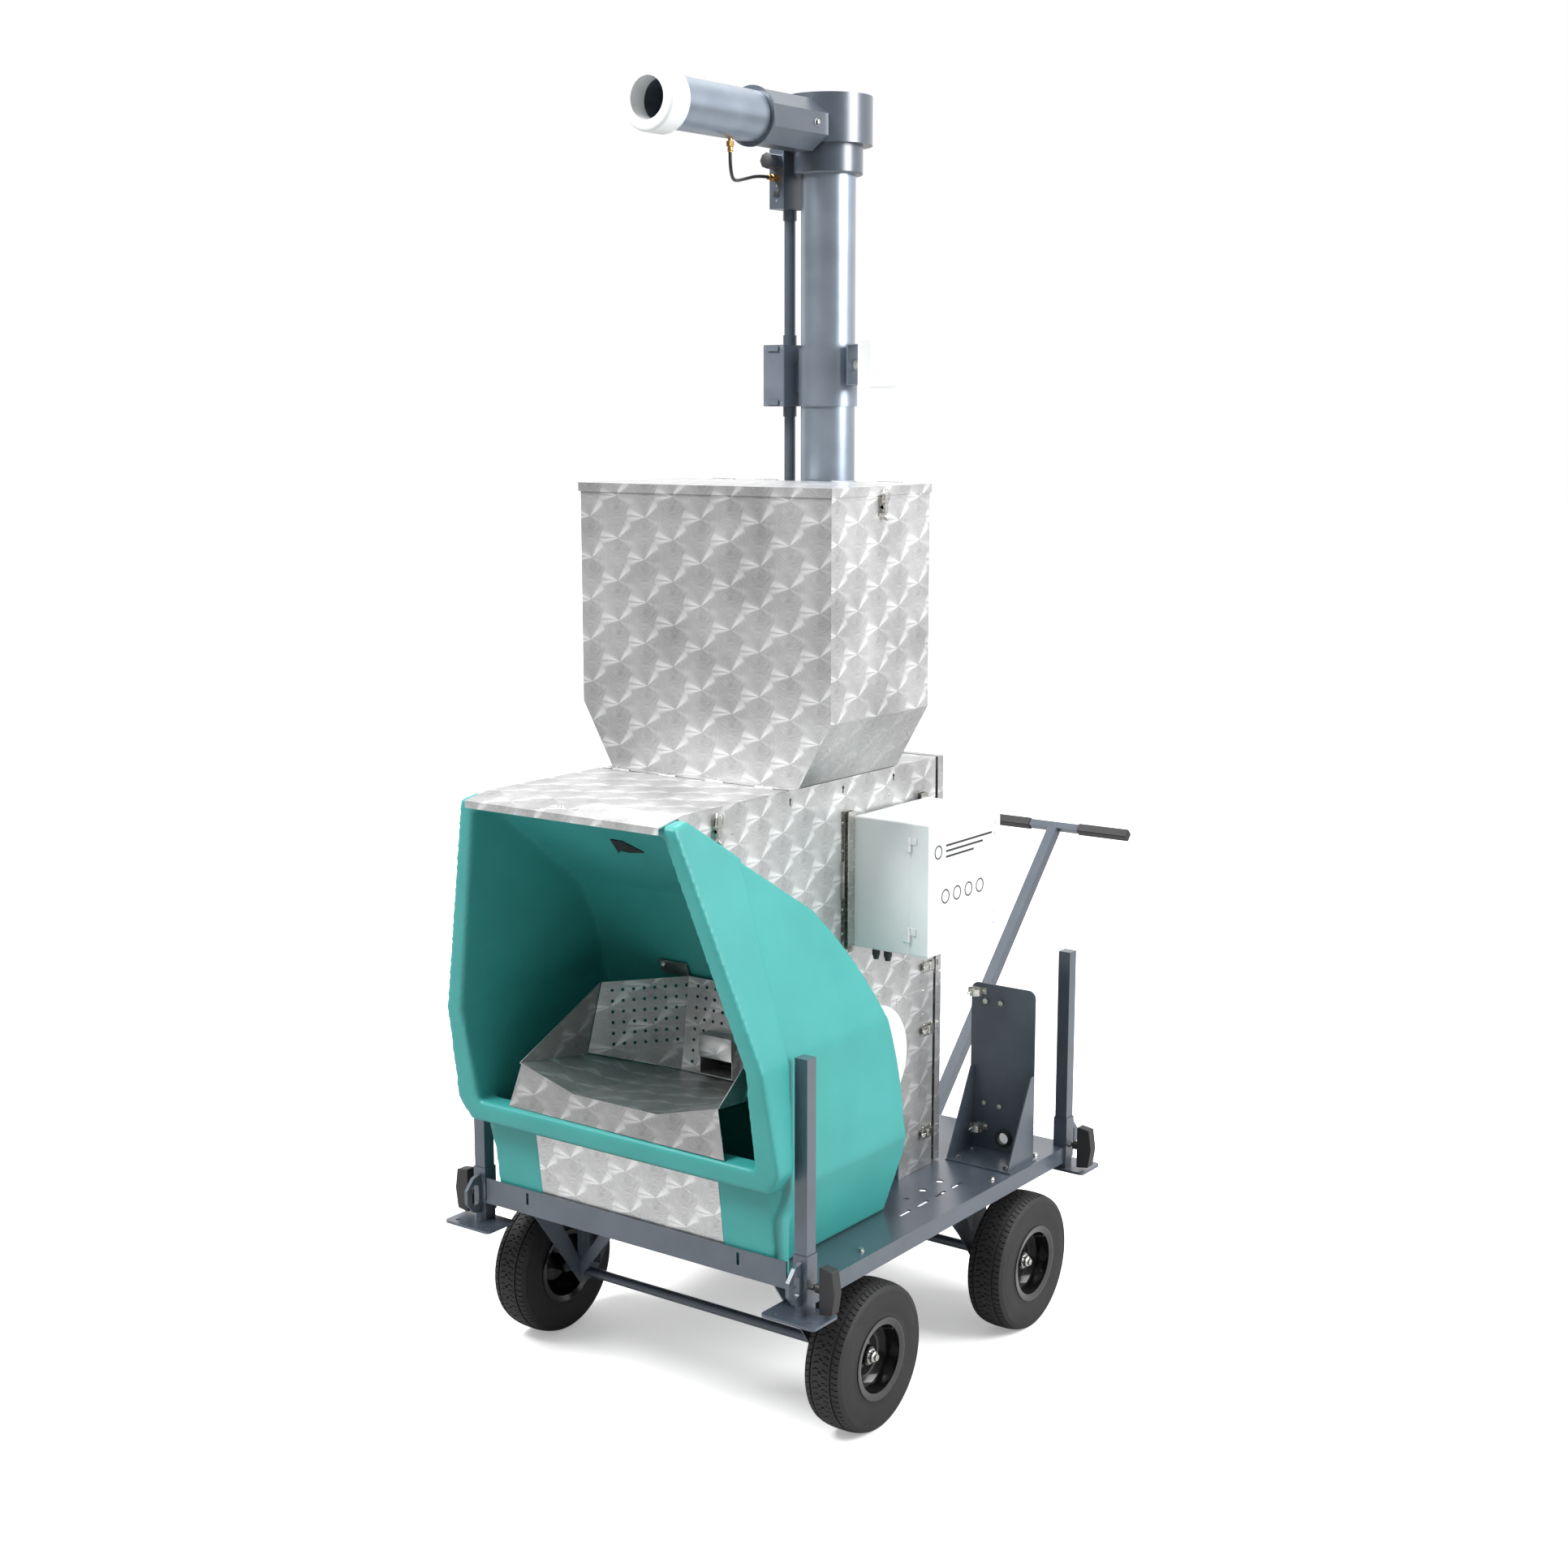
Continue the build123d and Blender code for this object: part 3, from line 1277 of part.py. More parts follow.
# ----------------------------------------------------------------- tow handle
shaft = 36
pull_tip = (pivot_y + 1024, 1318)
pull_angle = degrees(atan2(pull_tip[1] - pivot_z, pull_tip[0] - pivot_y))
pull_length = ((pull_tip[0] - pivot_y) ** 2 + (pull_tip[1] - pivot_z) ** 2) ** 0.5
cross_half = 290
grip_in = 99
along = Plane(origin=(0, pivot_y, pivot_z), x_dir=(1, 0, 0), z_dir=(0, cos(radians(pull_angle)), sin(radians(pull_angle))))
with BuildPart() as tow_handle:
    with BuildSketch(along.offset(10)):
        Rectangle(shaft, shaft)
        Rectangle(shaft - 6, shaft - 6, mode=Mode.SUBTRACT)
    extrude(amount=pull_length - 22)
    rod_x((-29, 29), pivot_y, pivot_z, 18)
    rod_x((-30, 30), pivot_y, pivot_z, pin_r + run_gap, mode=Mode.SUBTRACT)
    with BuildSketch(along.offset(pull_length - 12.5)):
        Rectangle(2 * cross_half, 25)
    extrude(amount=25)
save(tow_handle, "tow_handle")

with BuildPart() as handle_grips:
    for side in (-1, 1):
        with BuildSketch(along.offset(pull_length - 16.5)):
            with Locations((side * (cross_half + 2 + grip_in) / 2, 0)):
                Rectangle(cross_half + 2 - grip_in, 33)
        extrude(amount=33)
    fillet(handle_grips.edges().filter_by(Axis.X), 5)
    with BuildSketch(along.offset(pull_length - 12.5 - slip / 2)):
        Rectangle(2 * cross_half, 25 + slip)
    extrude(amount=25 + slip, mode=Mode.SUBTRACT)
save(handle_grips, "handle_grips")
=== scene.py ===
import json
import math

import bmesh
import bpy
from mathutils import Matrix, Vector


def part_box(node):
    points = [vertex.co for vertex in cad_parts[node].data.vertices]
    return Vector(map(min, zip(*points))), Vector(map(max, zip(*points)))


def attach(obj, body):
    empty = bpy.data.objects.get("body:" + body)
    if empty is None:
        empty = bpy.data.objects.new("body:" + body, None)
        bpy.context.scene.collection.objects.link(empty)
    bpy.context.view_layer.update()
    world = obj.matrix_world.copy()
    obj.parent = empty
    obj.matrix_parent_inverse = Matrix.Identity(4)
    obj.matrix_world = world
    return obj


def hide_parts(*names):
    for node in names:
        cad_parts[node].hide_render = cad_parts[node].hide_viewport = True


bl_info = {
    "name": "Livestock feeding station",
    "version": (1, 0, 0),
    "blender": (4, 5, 0),
    "location": "View3D > Sidebar > Feeding station",
    "description": "Finishes and fittings of a wheeled feeding and breath-sampling station",
    "category": "Object",
}

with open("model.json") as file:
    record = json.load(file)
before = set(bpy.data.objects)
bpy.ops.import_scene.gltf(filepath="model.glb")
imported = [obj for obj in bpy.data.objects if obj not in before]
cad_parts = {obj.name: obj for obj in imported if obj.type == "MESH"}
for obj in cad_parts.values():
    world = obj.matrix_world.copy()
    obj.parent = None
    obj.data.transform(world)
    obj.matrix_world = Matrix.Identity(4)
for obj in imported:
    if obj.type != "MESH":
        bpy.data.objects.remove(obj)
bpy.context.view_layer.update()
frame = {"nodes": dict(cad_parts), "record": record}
nodes = frame["nodes"]
CORNERS = ("front_left", "front_right", "rear_left", "rear_right")
# places below are in millimetres from the ground point midway between the axles, which lies here
MID_AXLES = Vector((0, -0.334626, 0))
TOWER_SIDE = 335
HUB_FACE = 602.3
DOOR_LATCH_HEIGHTS = (1142, 943, 617)
DRAW_LATCHES = ((440, -157, 2540), (335, -771, 1722))


# ------------------------------------------------------------------- helpers
def linear(code):
    """An sRGB hex colour as linear RGBA."""
    parts = [int(code[i : i + 2], 16) / 255 for i in (1, 3, 5)]
    return [c / 12.92 if c <= 0.04045 else ((c + 0.055) / 1.055) ** 2.4 for c in parts] + [1.0]


def add(tree, kind, inputs=None, **settings):
    """Adds one node with its settings, plain values and links."""
    made = tree.nodes.new(kind)
    for key, value in settings.items():
        setattr(made, key, value)
    for key, value in (inputs or {}).items():
        if isinstance(value, bpy.types.NodeSocket):
            tree.links.new(value, made.inputs[key])
        else:
            made.inputs[key].default_value = value
    return made


def new_material(name):
    """A material holding only a Principled shader and its output."""
    material = bpy.data.materials.new(name)
    material.use_nodes = True
    tree = material.node_tree
    tree.nodes.clear()
    shader = add(tree, "ShaderNodeBsdfPrincipled")
    output = add(tree, "ShaderNodeOutputMaterial")
    tree.links.new(shader.outputs[0], output.inputs[0])
    return material, tree, shader


def ramp(tree, factor, stops):
    """A colour ramp from (place, hex) stops."""
    made = add(tree, "ShaderNodeValToRGB", {0: factor})
    points = made.color_ramp.elements
    while len(points) < len(stops):
        points.new(0.5)
    for point, (place, code) in zip(points, stops):
        point.position = place
        point.color = linear(code)
    return made


def at(values):
    """A point given in millimetres from mid-axles, in the frame's metres."""
    return Vector(values) / 1000 + MID_AXLES


def drawn(point):
    """A point of the frame in millimetres from mid-axles."""
    return (Vector(point) - MID_AXLES) * 1000


def turned_to(direction):
    """Rotation that takes +Z to a direction."""
    return Vector(direction).to_track_quat("Z", "Y").to_matrix().to_4x4()


def rod(bm, start, end, r1, r2=None, sides=24):
    """A round bar or cone between two points, in millimetres."""
    a, b = at(start), at(end)
    place = Matrix.Translation((a + b) / 2) @ turned_to(b - a)
    return bmesh.ops.create_cone(
        bm, cap_ends=True, cap_tris=False, segments=sides, radius1=r1 / 1000,
        radius2=(r1 if r2 is None else r2) / 1000, depth=(b - a).length, matrix=place,
    )["verts"]


def slab(bm, x, y, z):
    """A box between two values on each axis, in millimetres."""
    low, high = at((x[0], y[0], z[0])), at((x[1], y[1], z[1]))
    place = Matrix.Translation((low + high) / 2) @ Matrix.Diagonal((*(high - low), 1))
    return bmesh.ops.create_cube(bm, size=1, matrix=place)["verts"]


def ball(bm, centre, r, sides=12):
    """A small sphere, in millimetres."""
    bmesh.ops.create_uvsphere(
        bm, u_segments=sides, v_segments=sides // 2, radius=r / 1000, matrix=Matrix.Translation(at(centre))
    )


def wire(bm, points, r):
    """A bent round wire through points, in millimetres."""
    for a, b in zip(points, points[1:]):
        rod(bm, a, b, r, sides=12)
    for p in points:
        ball(bm, p, r)


def washer_ring(bm, centre, axis, profile, steps):
    """Spins a closed (radius, height) profile about an axis through a point, in millimetres."""
    place = Matrix.Translation(at(centre)) @ turned_to(axis)
    loop = [bm.verts.new(place @ Vector((r / 1000, 0, h / 1000))) for r, h in profile]
    edges = [bm.edges.new((a, b)) for a, b in zip(loop, loop[1:] + loop[:1])]
    bmesh.ops.spin(
        bm, geom=loop + edges, cent=at(centre), axis=Vector(axis).normalized(), angle=math.tau,
        steps=steps, use_merge=True,
    )


def cap_screw(bm, centre, axis, r, h):
    """A low domed screw head standing on a surface."""
    way = Vector(axis).normalized()
    base = Vector(centre)
    rod(bm, base - way * 0.4, base + way * h * 0.5, r)
    rod(bm, base + way * h * 0.5, base + way * h, r, r * 0.72)


def hex_bolt(bm, centre, axis, r, h):
    """A washer with a hexagon head on it."""
    way = Vector(axis).normalized()
    base = Vector(centre)
    rod(bm, base - way * 0.4, base + way * 1.6, r * 1.45)
    rod(bm, base + way * 1.6, base + way * (1.6 + h * 0.85), r, sides=6)
    rod(bm, base + way * (1.6 + h * 0.85), base + way * (1.6 + h), r, r * 0.85, sides=6)


def finish_piece(bm, name, body, material, sharp=35, bevel=0.0):
    """Turns a bmesh into a shaded object that rides on a body."""
    bmesh.ops.remove_doubles(bm, verts=bm.verts, dist=1e-6)
    if bevel:
        edges = [e for e in bm.edges if len(e.link_faces) == 2 and e.calc_face_angle(0) > math.radians(40)]
        bmesh.ops.bevel(
            bm, geom=edges, offset=bevel / 1000, segments=2, profile=0.5, affect="EDGES",
            material=-1, clamp_overlap=True,
        )
    bmesh.ops.recalc_face_normals(bm, faces=bm.faces)
    mesh = bpy.data.meshes.new(name)
    bm.to_mesh(mesh)
    bm.free()
    for face in mesh.polygons:
        face.use_smooth = True
    mesh.set_sharp_from_angle(angle=math.radians(sharp))
    made = bpy.data.objects.new(name, mesh)
    bpy.context.scene.collection.objects.link(made)
    made.data.materials.append(material)
    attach(made, body)
    return made


# ----------------------------------------------------------------- materials
def powder_coat(name, base, deep, roughness, coat, metallic=0.25):
    """Powder-coated steel: satin paint with a faint orange peel and a slightly cloudy tone."""
    material, tree, shader = new_material(name)
    place = add(tree, "ShaderNodeTexCoord").outputs["Object"]
    cloud = add(tree, "ShaderNodeTexNoise", {"Vector": place, "Scale": 9.0, "Detail": 3.0}).outputs["Fac"]
    tint = ramp(tree, cloud, ((0.3, deep), (0.7, base)))
    # orange peel is about 1 mm across, drawn at 2.5 mm so that it shows
    peel = add(tree, "ShaderNodeTexNoise", {"Vector": place, "Scale": 400.0, "Detail": 2.0})
    bump = add(tree, "ShaderNodeBump", {"Strength": 0.05, "Distance": 0.001, "Height": peel.outputs["Fac"]})
    wear = add(tree, "ShaderNodeMapRange", {0: cloud, 3: roughness - 0.04, 4: roughness + 0.06})
    tree.links.new(tint.outputs[0], shader.inputs["Base Color"])
    tree.links.new(wear.outputs[0], shader.inputs["Roughness"])
    tree.links.new(bump.outputs[0], shader.inputs["Normal"])
    shader.inputs["Metallic"].default_value = metallic
    shader.inputs["Coat Weight"].default_value = coat
    shader.inputs["Coat Roughness"].default_value = 0.25
    return material


def engine_turned(name, across, up, shade, painted_slope_shade):
    """Engine-turned stainless sheet: overlapping polished discs, with the fans of light on their arcs painted
    into the colour as highlights.
    """
    material, tree, shader = new_material(name)
    coords = add(tree, "ShaderNodeTexCoord")
    spot = add(tree, "ShaderNodeSeparateXYZ", {0: coords.outputs["Object"]})
    facing = add(tree, "ShaderNodeSeparateXYZ", {0: coords.outputs["Normal"]})
    size = [
        add(tree, "ShaderNodeMath", {0: facing.outputs[i]}, operation="ABSOLUTE").outputs[0]
        for i in range(3)
    ]
    sideways = add(tree, "ShaderNodeMath", {0: size[0], 1: size[1]}, operation="GREATER_THAN").outputs[0]
    flat = add(tree, "ShaderNodeMath", {0: size[2], 1: 0.8}, operation="GREATER_THAN").outputs[0]
    u = add(tree, "ShaderNodeMix", {0: sideways, 2: spot.outputs[0], 3: spot.outputs[1]}).outputs[0]
    v = add(tree, "ShaderNodeMix", {0: flat, 2: spot.outputs[2], 3: spot.outputs[1]}).outputs[0]
    u = add(tree, "ShaderNodeMix", {0: flat, 2: u, 3: spot.outputs[0]}).outputs[0]
    sheet = add(tree, "ShaderNodeCombineXYZ", {0: u, 1: v}).outputs[0]
    # the discs are set by eye on a real sheet, so their rows wander by a few millimetres
    noise = add(tree, "ShaderNodeTexNoise", {"Vector": sheet, "Scale": 9.0, "Detail": 1.0}).outputs["Color"]
    drift = add(tree, "ShaderNodeVectorMath", {0: noise, 1: (0.5, 0.5, 0.5)}, operation="SUBTRACT")
    drift = add(tree, "ShaderNodeVectorMath", {0: drift.outputs[0], "Scale": 0.02}, operation="SCALE")
    sheet = add(tree, "ShaderNodeVectorMath", {0: sheet, 1: drift.outputs[0]}, operation="ADD").outputs[0]
    # discs stand in staggered rows; each point takes the nearer of the two rows' discs
    discs = []
    for shift in (0.0, 0.5):
        moved = add(
            tree, "ShaderNodeVectorMath",
            {0: sheet, 1: (across * shift, up * shift, 0)}, operation="ADD",
        )
        half = Vector((across / 2, up / 2, 1))
        near = add(tree, "ShaderNodeVectorMath", {0: moved.outputs[0], 1: half, 2: -half}, operation="WRAP")
        reach = add(tree, "ShaderNodeVectorMath", {0: near.outputs[0]}, operation="LENGTH")
        discs.append((near.outputs[0], reach.outputs["Value"]))
    first = add(tree, "ShaderNodeMath", {0: discs[0][1], 1: discs[1][1]}, operation="LESS_THAN").outputs[0]
    local = add(
        tree, "ShaderNodeMix", {0: first, 4: discs[1][0], 5: discs[0][0]}, data_type="VECTOR",
    ).outputs[1]
    part = add(tree, "ShaderNodeSeparateXYZ", {0: local})
    angle = add(tree, "ShaderNodeMath", {0: part.outputs[1], 1: part.outputs[0]}, operation="ARCTAN2")
    turn = add(tree, "ShaderNodeMapRange", {0: angle.outputs[0], 1: -math.pi, 2: math.pi}).outputs[0]
    radius = add(tree, "ShaderNodeVectorMath", {0: local}, operation="LENGTH").outputs["Value"]
    # the polishing scratches are arcs about 0.3 mm apart, drawn at 3 mm so that they show
    slow = add(tree, "ShaderNodeMath", {0: turn, 1: 0.03}, operation="MULTIPLY").outputs[0]
    lines = add(tree, "ShaderNodeCombineXYZ", {0: radius, 1: slow, 2: first})
    scratch = add(tree, "ShaderNodeTexNoise", {"Vector": lines.outputs[0], "Scale": 330.0, "Detail": 4.0})
    # painted highlight: bright lobes at set angles round each disc stand for the light that its polished arcs
    # reflect
    painted_fan_highlight = ramp(tree, turn, (
        (0.0, "#CDCDCD"), (0.007, "#E2E2E2"), (0.02, "#FFFFFF"), (0.037, "#F0F0F0"), (0.06, "#CACACA"),
        (0.24, "#C0C0C0"), (0.40, "#C2C2C2"), (0.45, "#D9D9D9"), (0.49, "#C6C6C6"), (0.575, "#CDCDCD"),
        (0.605, "#FFFFFF"), (0.64, "#F2F2F2"), (0.665, "#CBCBCB"), (0.80, "#C6C6C6"), (0.925, "#D6D6D6"),
        (0.955, "#FAFAFA"), (0.98, "#FFFFFF"), (0.995, "#DADADA"), (1.0, "#CDCDCD"),
    ))
    # the painted highlight fades to an even grey towards the rim of each disc
    highlight_fade = add(tree, "ShaderNodeMapRange", {0: radius, 1: 0.03, 2: 0.072, 3: 0.0, 4: 0.6}).outputs[0]
    layers = [(highlight_fade, linear("#D0D0D0"), "MIX")]
    if painted_slope_shade:
        # painted shade: folded slopes lie across the light, so they are drawn darker and their discs hardly
        # show
        stops = ((0.1, "#000000"), (0.2, "#E8E8E8"), (0.8, "#E8E8E8"), (0.95, "#606060"))
        layers.append((ramp(tree, size[2], stops).outputs[0], linear("#A2A2A2"), "MIX"))
    clouds = {"Vector": coords.outputs["Object"], "Scale": 6.0, "Detail": 4.0}
    mottle = add(tree, "ShaderNodeTexNoise", clouds)
    layers += [
        (0.5, scratch.outputs["Fac"], "OVERLAY"),
        (0.5, mottle.outputs["Fac"], "SOFT_LIGHT"),
        # a shade below white darkens the whole sheet: painted shade
        (1.0, linear(shade), "MULTIPLY"),
    ]
    tone = painted_fan_highlight.outputs[0]
    for strength, layer, way in layers:
        mixed = add(tree, "ShaderNodeMix", {0: strength, 6: tone, 7: layer}, data_type="RGBA", blend_type=way)
        tone = mixed.outputs[2]
    rough = add(tree, "ShaderNodeMapRange", {0: mottle.outputs["Fac"], 1: 0.3, 2: 0.7, 3: 0.30, 4: 0.42})
    groove = {"Strength": 0.15, "Distance": 0.0005, "Height": scratch.outputs["Fac"]}
    bump = add(tree, "ShaderNodeBump", groove)
    tree.links.new(tone, shader.inputs["Base Color"])
    tree.links.new(rough.outputs[0], shader.inputs["Roughness"])
    tree.links.new(bump.outputs[0], shader.inputs["Normal"])
    shader.inputs["Metallic"].default_value = 0.85
    return material


def brushed(name, dark, light, roughness, stretch):
    """Cold-rolled sheet: long fine rolling lines, with broad cloudy reflections painted into the colour."""
    material, tree, shader = new_material(name)
    place = add(tree, "ShaderNodeTexCoord").outputs["Object"]
    along = add(tree, "ShaderNodeMapping", {"Vector": place, "Scale": stretch})
    lines = {"Vector": along.outputs[0], "Scale": 60.0, "Detail": 4.0}
    grain = add(tree, "ShaderNodeTexNoise", lines).outputs["Fac"]
    cloud = add(tree, "ShaderNodeTexNoise", {"Vector": place, "Scale": 6.0, "Detail": 3.0}).outputs["Fac"]
    both = add(tree, "ShaderNodeMix", {0: 0.5, 2: grain, 3: cloud}).outputs[0]
    tone = ramp(tree, both, ((0.35, dark), (0.65, light)))
    rough = add(tree, "ShaderNodeMapRange", {0: grain, 3: roughness - 0.05, 4: roughness + 0.08})
    bump = add(tree, "ShaderNodeBump", {"Strength": 0.08, "Distance": 0.0004, "Height": grain})
    tree.links.new(tone.outputs[0], shader.inputs["Base Color"])
    tree.links.new(rough.outputs[0], shader.inputs["Roughness"])
    tree.links.new(bump.outputs[0], shader.inputs["Normal"])
    shader.inputs["Metallic"].default_value = 0.95
    return material


def moulded(name, base, deep, roughness, grain, depth, coat=0.0):
    """Moulded plastic or rubber: even colour, a fine cast texture and slight cloudiness."""
    material, tree, shader = new_material(name)
    place = add(tree, "ShaderNodeTexCoord").outputs["Object"]
    cloud = add(tree, "ShaderNodeTexNoise", {"Vector": place, "Scale": 5.0, "Detail": 4.0})
    tint = ramp(tree, cloud.outputs["Fac"], ((0.3, deep), (0.7, base)))
    skin = add(tree, "ShaderNodeTexNoise", {"Vector": place, "Scale": grain, "Detail": 3.0}).outputs["Fac"]
    rough = add(tree, "ShaderNodeMapRange", {0: skin, 3: roughness - 0.06, 4: roughness + 0.06})
    bump = add(tree, "ShaderNodeBump", {"Strength": depth, "Distance": 0.001, "Height": skin})
    tree.links.new(tint.outputs[0], shader.inputs["Base Color"])
    tree.links.new(rough.outputs[0], shader.inputs["Roughness"])
    tree.links.new(bump.outputs[0], shader.inputs["Normal"])
    shader.inputs["Coat Weight"].default_value = coat
    shader.inputs["Coat Roughness"].default_value = 0.1
    return material


FINISHES = {
    # epoxy-polyester powder coat, blue grey: satin, with a clear sheen at a low angle
    "painted_steel": lambda s: powder_coat("powder_coated_steel", s.paint, "#414A55", 0.36, 1.0),
    # the same coat on the round tubes, a little paler and more metallic
    "painted_steel_light": lambda s: powder_coat(
        "powder_coated_tube", s.tube_paint, "#8B96A3", 0.3, 0.3, 0.75),
    # a duller coat on the small instrument boxes
    "dark_painted_box": lambda s: powder_coat("dark_powder_coat", "#6A727E", "#5C6470", 0.45, 0.2),
    # cold-rolled stainless sheet polished in discs, with the fans of light on the discs painted in as
    # highlights and painted shade on its slopes
    "swirled_stainless": lambda s: engine_turned(
        "engine_turned_stainless", s.disc_across, s.disc_up, "#FFFFFF", True),
    # the pan is folded from the same sheet, and is drawn darker all over as painted shade, since it lies
    # inside the hood
    "dark_stainless": lambda s: engine_turned(
        "shaded_turned_stainless", s.disc_across, s.disc_up, "#DADADA", False),
    # rotationally moulded polyethylene: waxy, with a fine sandy skin from the mould
    "teal_moulding": lambda s: moulded(
        "rotomoulded_polyethylene", s.teal, "#33908C", 0.45, 260.0, 0.12),
    # injection-moulded plastics: even and smooth, glossy in white and matt in black
    "white_plastic": lambda s: moulded("white_abs", "#DCDEDE", "#D5D8D8", 0.32, 300.0, 0.04, 0.2),
    "light_grey_plastic": lambda s: moulded(
        "light_grey_polycarbonate", "#DCDFDF", "#D4D8D8", 0.38, 300.0, 0.05),
    "black_plastic": lambda s: moulded("black_nylon", "#2B2B2D", "#1E1E20", 0.5, 500.0, 0.15),
    # extruded polyurethane tube: smooth, with a soft shine
    "black_hose": lambda s: moulded("black_polyurethane_tube", "#1B1B1D", "#131315", 0.35, 500.0, 0.05),
    # vulcanised rubber: matt, with a coarse skin
    "tyre_rubber": lambda s: moulded("tyre_rubber", "#222223", "#151516", 0.62, 160.0, 0.25),
    # enamelled pressed steel, nearly a mirror
    "gloss_black_rim": lambda s: moulded("black_enamel", "#111112", "#0B0B0C", 0.16, 200.0, 0.01, 0.8),
    # zinc-plated steel: warm grey, with fine drawing lines
    "zinc_steel": lambda s: brushed("zinc_plate", "#B4B2AC", "#DEDDD8", 0.24, (1.0, 1.0, 2.0)),
    # turned brass, lines round the fitting
    "brass": lambda s: brushed("turned_brass", "#B98A48", "#E0BC80", 0.22, (1.0, 4.0, 1.0)),
}
made_finishes = {}


def finish(slot):
    """The material of a record slot, made once."""
    if slot not in made_finishes:
        made_finishes[slot] = FINISHES[slot](bpy.context.scene.station_finish)
    return made_finishes[slot]


# ---------------------------------------------------------------- properties
class StationFinish(bpy.types.PropertyGroup):
    """Colours and pattern sizes of the finishes."""

    paint: bpy.props.StringProperty(
        name="Paint", description="Powder coat of the cart", default="#4A5460")
    tube_paint: bpy.props.StringProperty(
        name="Tube paint", description="Powder coat of the stack", default="#98A3B0")
    teal: bpy.props.StringProperty(
        name="Hood colour", description="Colour of the moulded hood", default="#399894")
    disc_across: bpy.props.FloatProperty(
        name="Disc spacing across", description="Distance between polished discs in a row",
        default=0.202, unit="LENGTH")
    disc_up: bpy.props.FloatProperty(
        name="Disc spacing up", description="Distance between polished discs up the sheet",
        default=0.119, unit="LENGTH")


class StationSizes(bpy.types.PropertyGroup):
    """Sizes of the pieces modelled here."""

    tread_depth: bpy.props.FloatProperty(
        name="Tread depth", description="Depth of the tyre grooves in millimetres",
        default=4.0, min=1.0, max=8.0)
    tread_pitch: bpy.props.IntProperty(
        name="Tread pitch", description="Degrees of tyre between two cross grooves",
        default=5, min=3, max=12)
    hood_voxel: bpy.props.FloatProperty(
        name="Hood mesh size", description="Mesh size used to round the moulded hood",
        default=0.0065, unit="LENGTH")
    hood_rounding: bpy.props.IntProperty(
        name="Hood rounding", description="Smoothing passes on the moulded hood",
        default=5, min=0, max=60)


# ----------------------------------------------------------------- operators
class STATION_OT_frame_finish(bpy.types.Operator):
    """Gives every carried-over piece the finish of its record slot"""

    bl_idname = "station.frame_finish"
    bl_label = "Frame finishes"

    def execute(self, context):
        for entry in frame["record"]["subparts"]:
            shown = nodes[entry["node"]]
            shown.data.materials.clear()
            shown.data.materials.append(finish(entry["material_slot"]))
        return {"FINISHED"}


class STATION_OT_tyres(bpy.types.Operator):
    """Treaded pneumatic tyres on the four rims"""

    bl_idname = "station.tyres"
    bl_label = "Tyres"

    def execute(self, context):
        sizes = context.scene.station_sizes
        # radii and widths from the wheel's centre; the tread is cut into columns across the tyre
        tyre_r, crown_drop, shoulder_r = 211.5, 7.5, 196
        half = 54
        columns = 18
        crown = [
            (tyre_r - crown_drop * abs(a / half) ** 3.2, a)
            for a in (half * (2 * k / columns - 1) for k in range(columns + 1))
        ]
        left_wall = [
            (101.3, -47), (101.3, -57), (106, -57.8), (113, -57.6), (118, -59.6), (121, -59.6), (124, -58.6),
            (140, -60.8), (160, -61.7), (176, -60.9), (186, -59.4), (190, -60.2), (193, -59.2), (199, -56.5),
        ]
        right_wall = [(r, -a) for r, a in reversed(left_wall)]
        inside = [(128, 50), (165, 52), (186, 48), (198, 34), (198, -34), (186, -48), (165, -52), (128, -50)]
        profile = left_wall + crown + right_wall + inside
        for corner in CORNERS:
            low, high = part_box("tyre_" + corner)
            centre = drawn((low + high) / 2)
            bm = bmesh.new()
            washer_ring(bm, centre, (1, 0, 0), profile, 360)
            bmesh.ops.recalc_face_normals(bm, faces=bm.faces)
            grooves = []
            for face in bm.faces:
                spot = drawn(face.calc_center_median()) - centre
                outwards = Vector((0, spot.y, spot.z))
                if outwards.length < shoulder_r or abs(spot.x) > half or face.normal.dot(outwards) <= 0:
                    continue
                column = int((spot.x + half) / (2 * half / columns))
                from_edge = min(column, columns - 1 - column)
                step = int(math.degrees(math.atan2(spot.z, spot.y)) % 360)
                # cross grooves lean over the shoulder blocks, between a groove all round and short slots
                lean = (0, 0, 1, 2, 2, 3, 4, 4, 5)[from_edge]
                cross = (step + lean) % sizes.tread_pitch == 0 and from_edge not in (4, 8)
                slot = from_edge == 8 and step % 10 in (3, 4)
                if from_edge == 3 or cross or slot:
                    grooves.append(face)
            bmesh.ops.inset_region(
                bm, faces=grooves, thickness=0.0009, depth=-sizes.tread_depth / 1000, use_boundary=True,
                use_even_offset=True,
            )
            tyre = finish_piece(
                bm, "tyre_treaded_" + corner, "wheel_" + corner, finish("tyre_rubber"))
            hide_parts("tyre_" + corner)
        return {"FINISHED"}


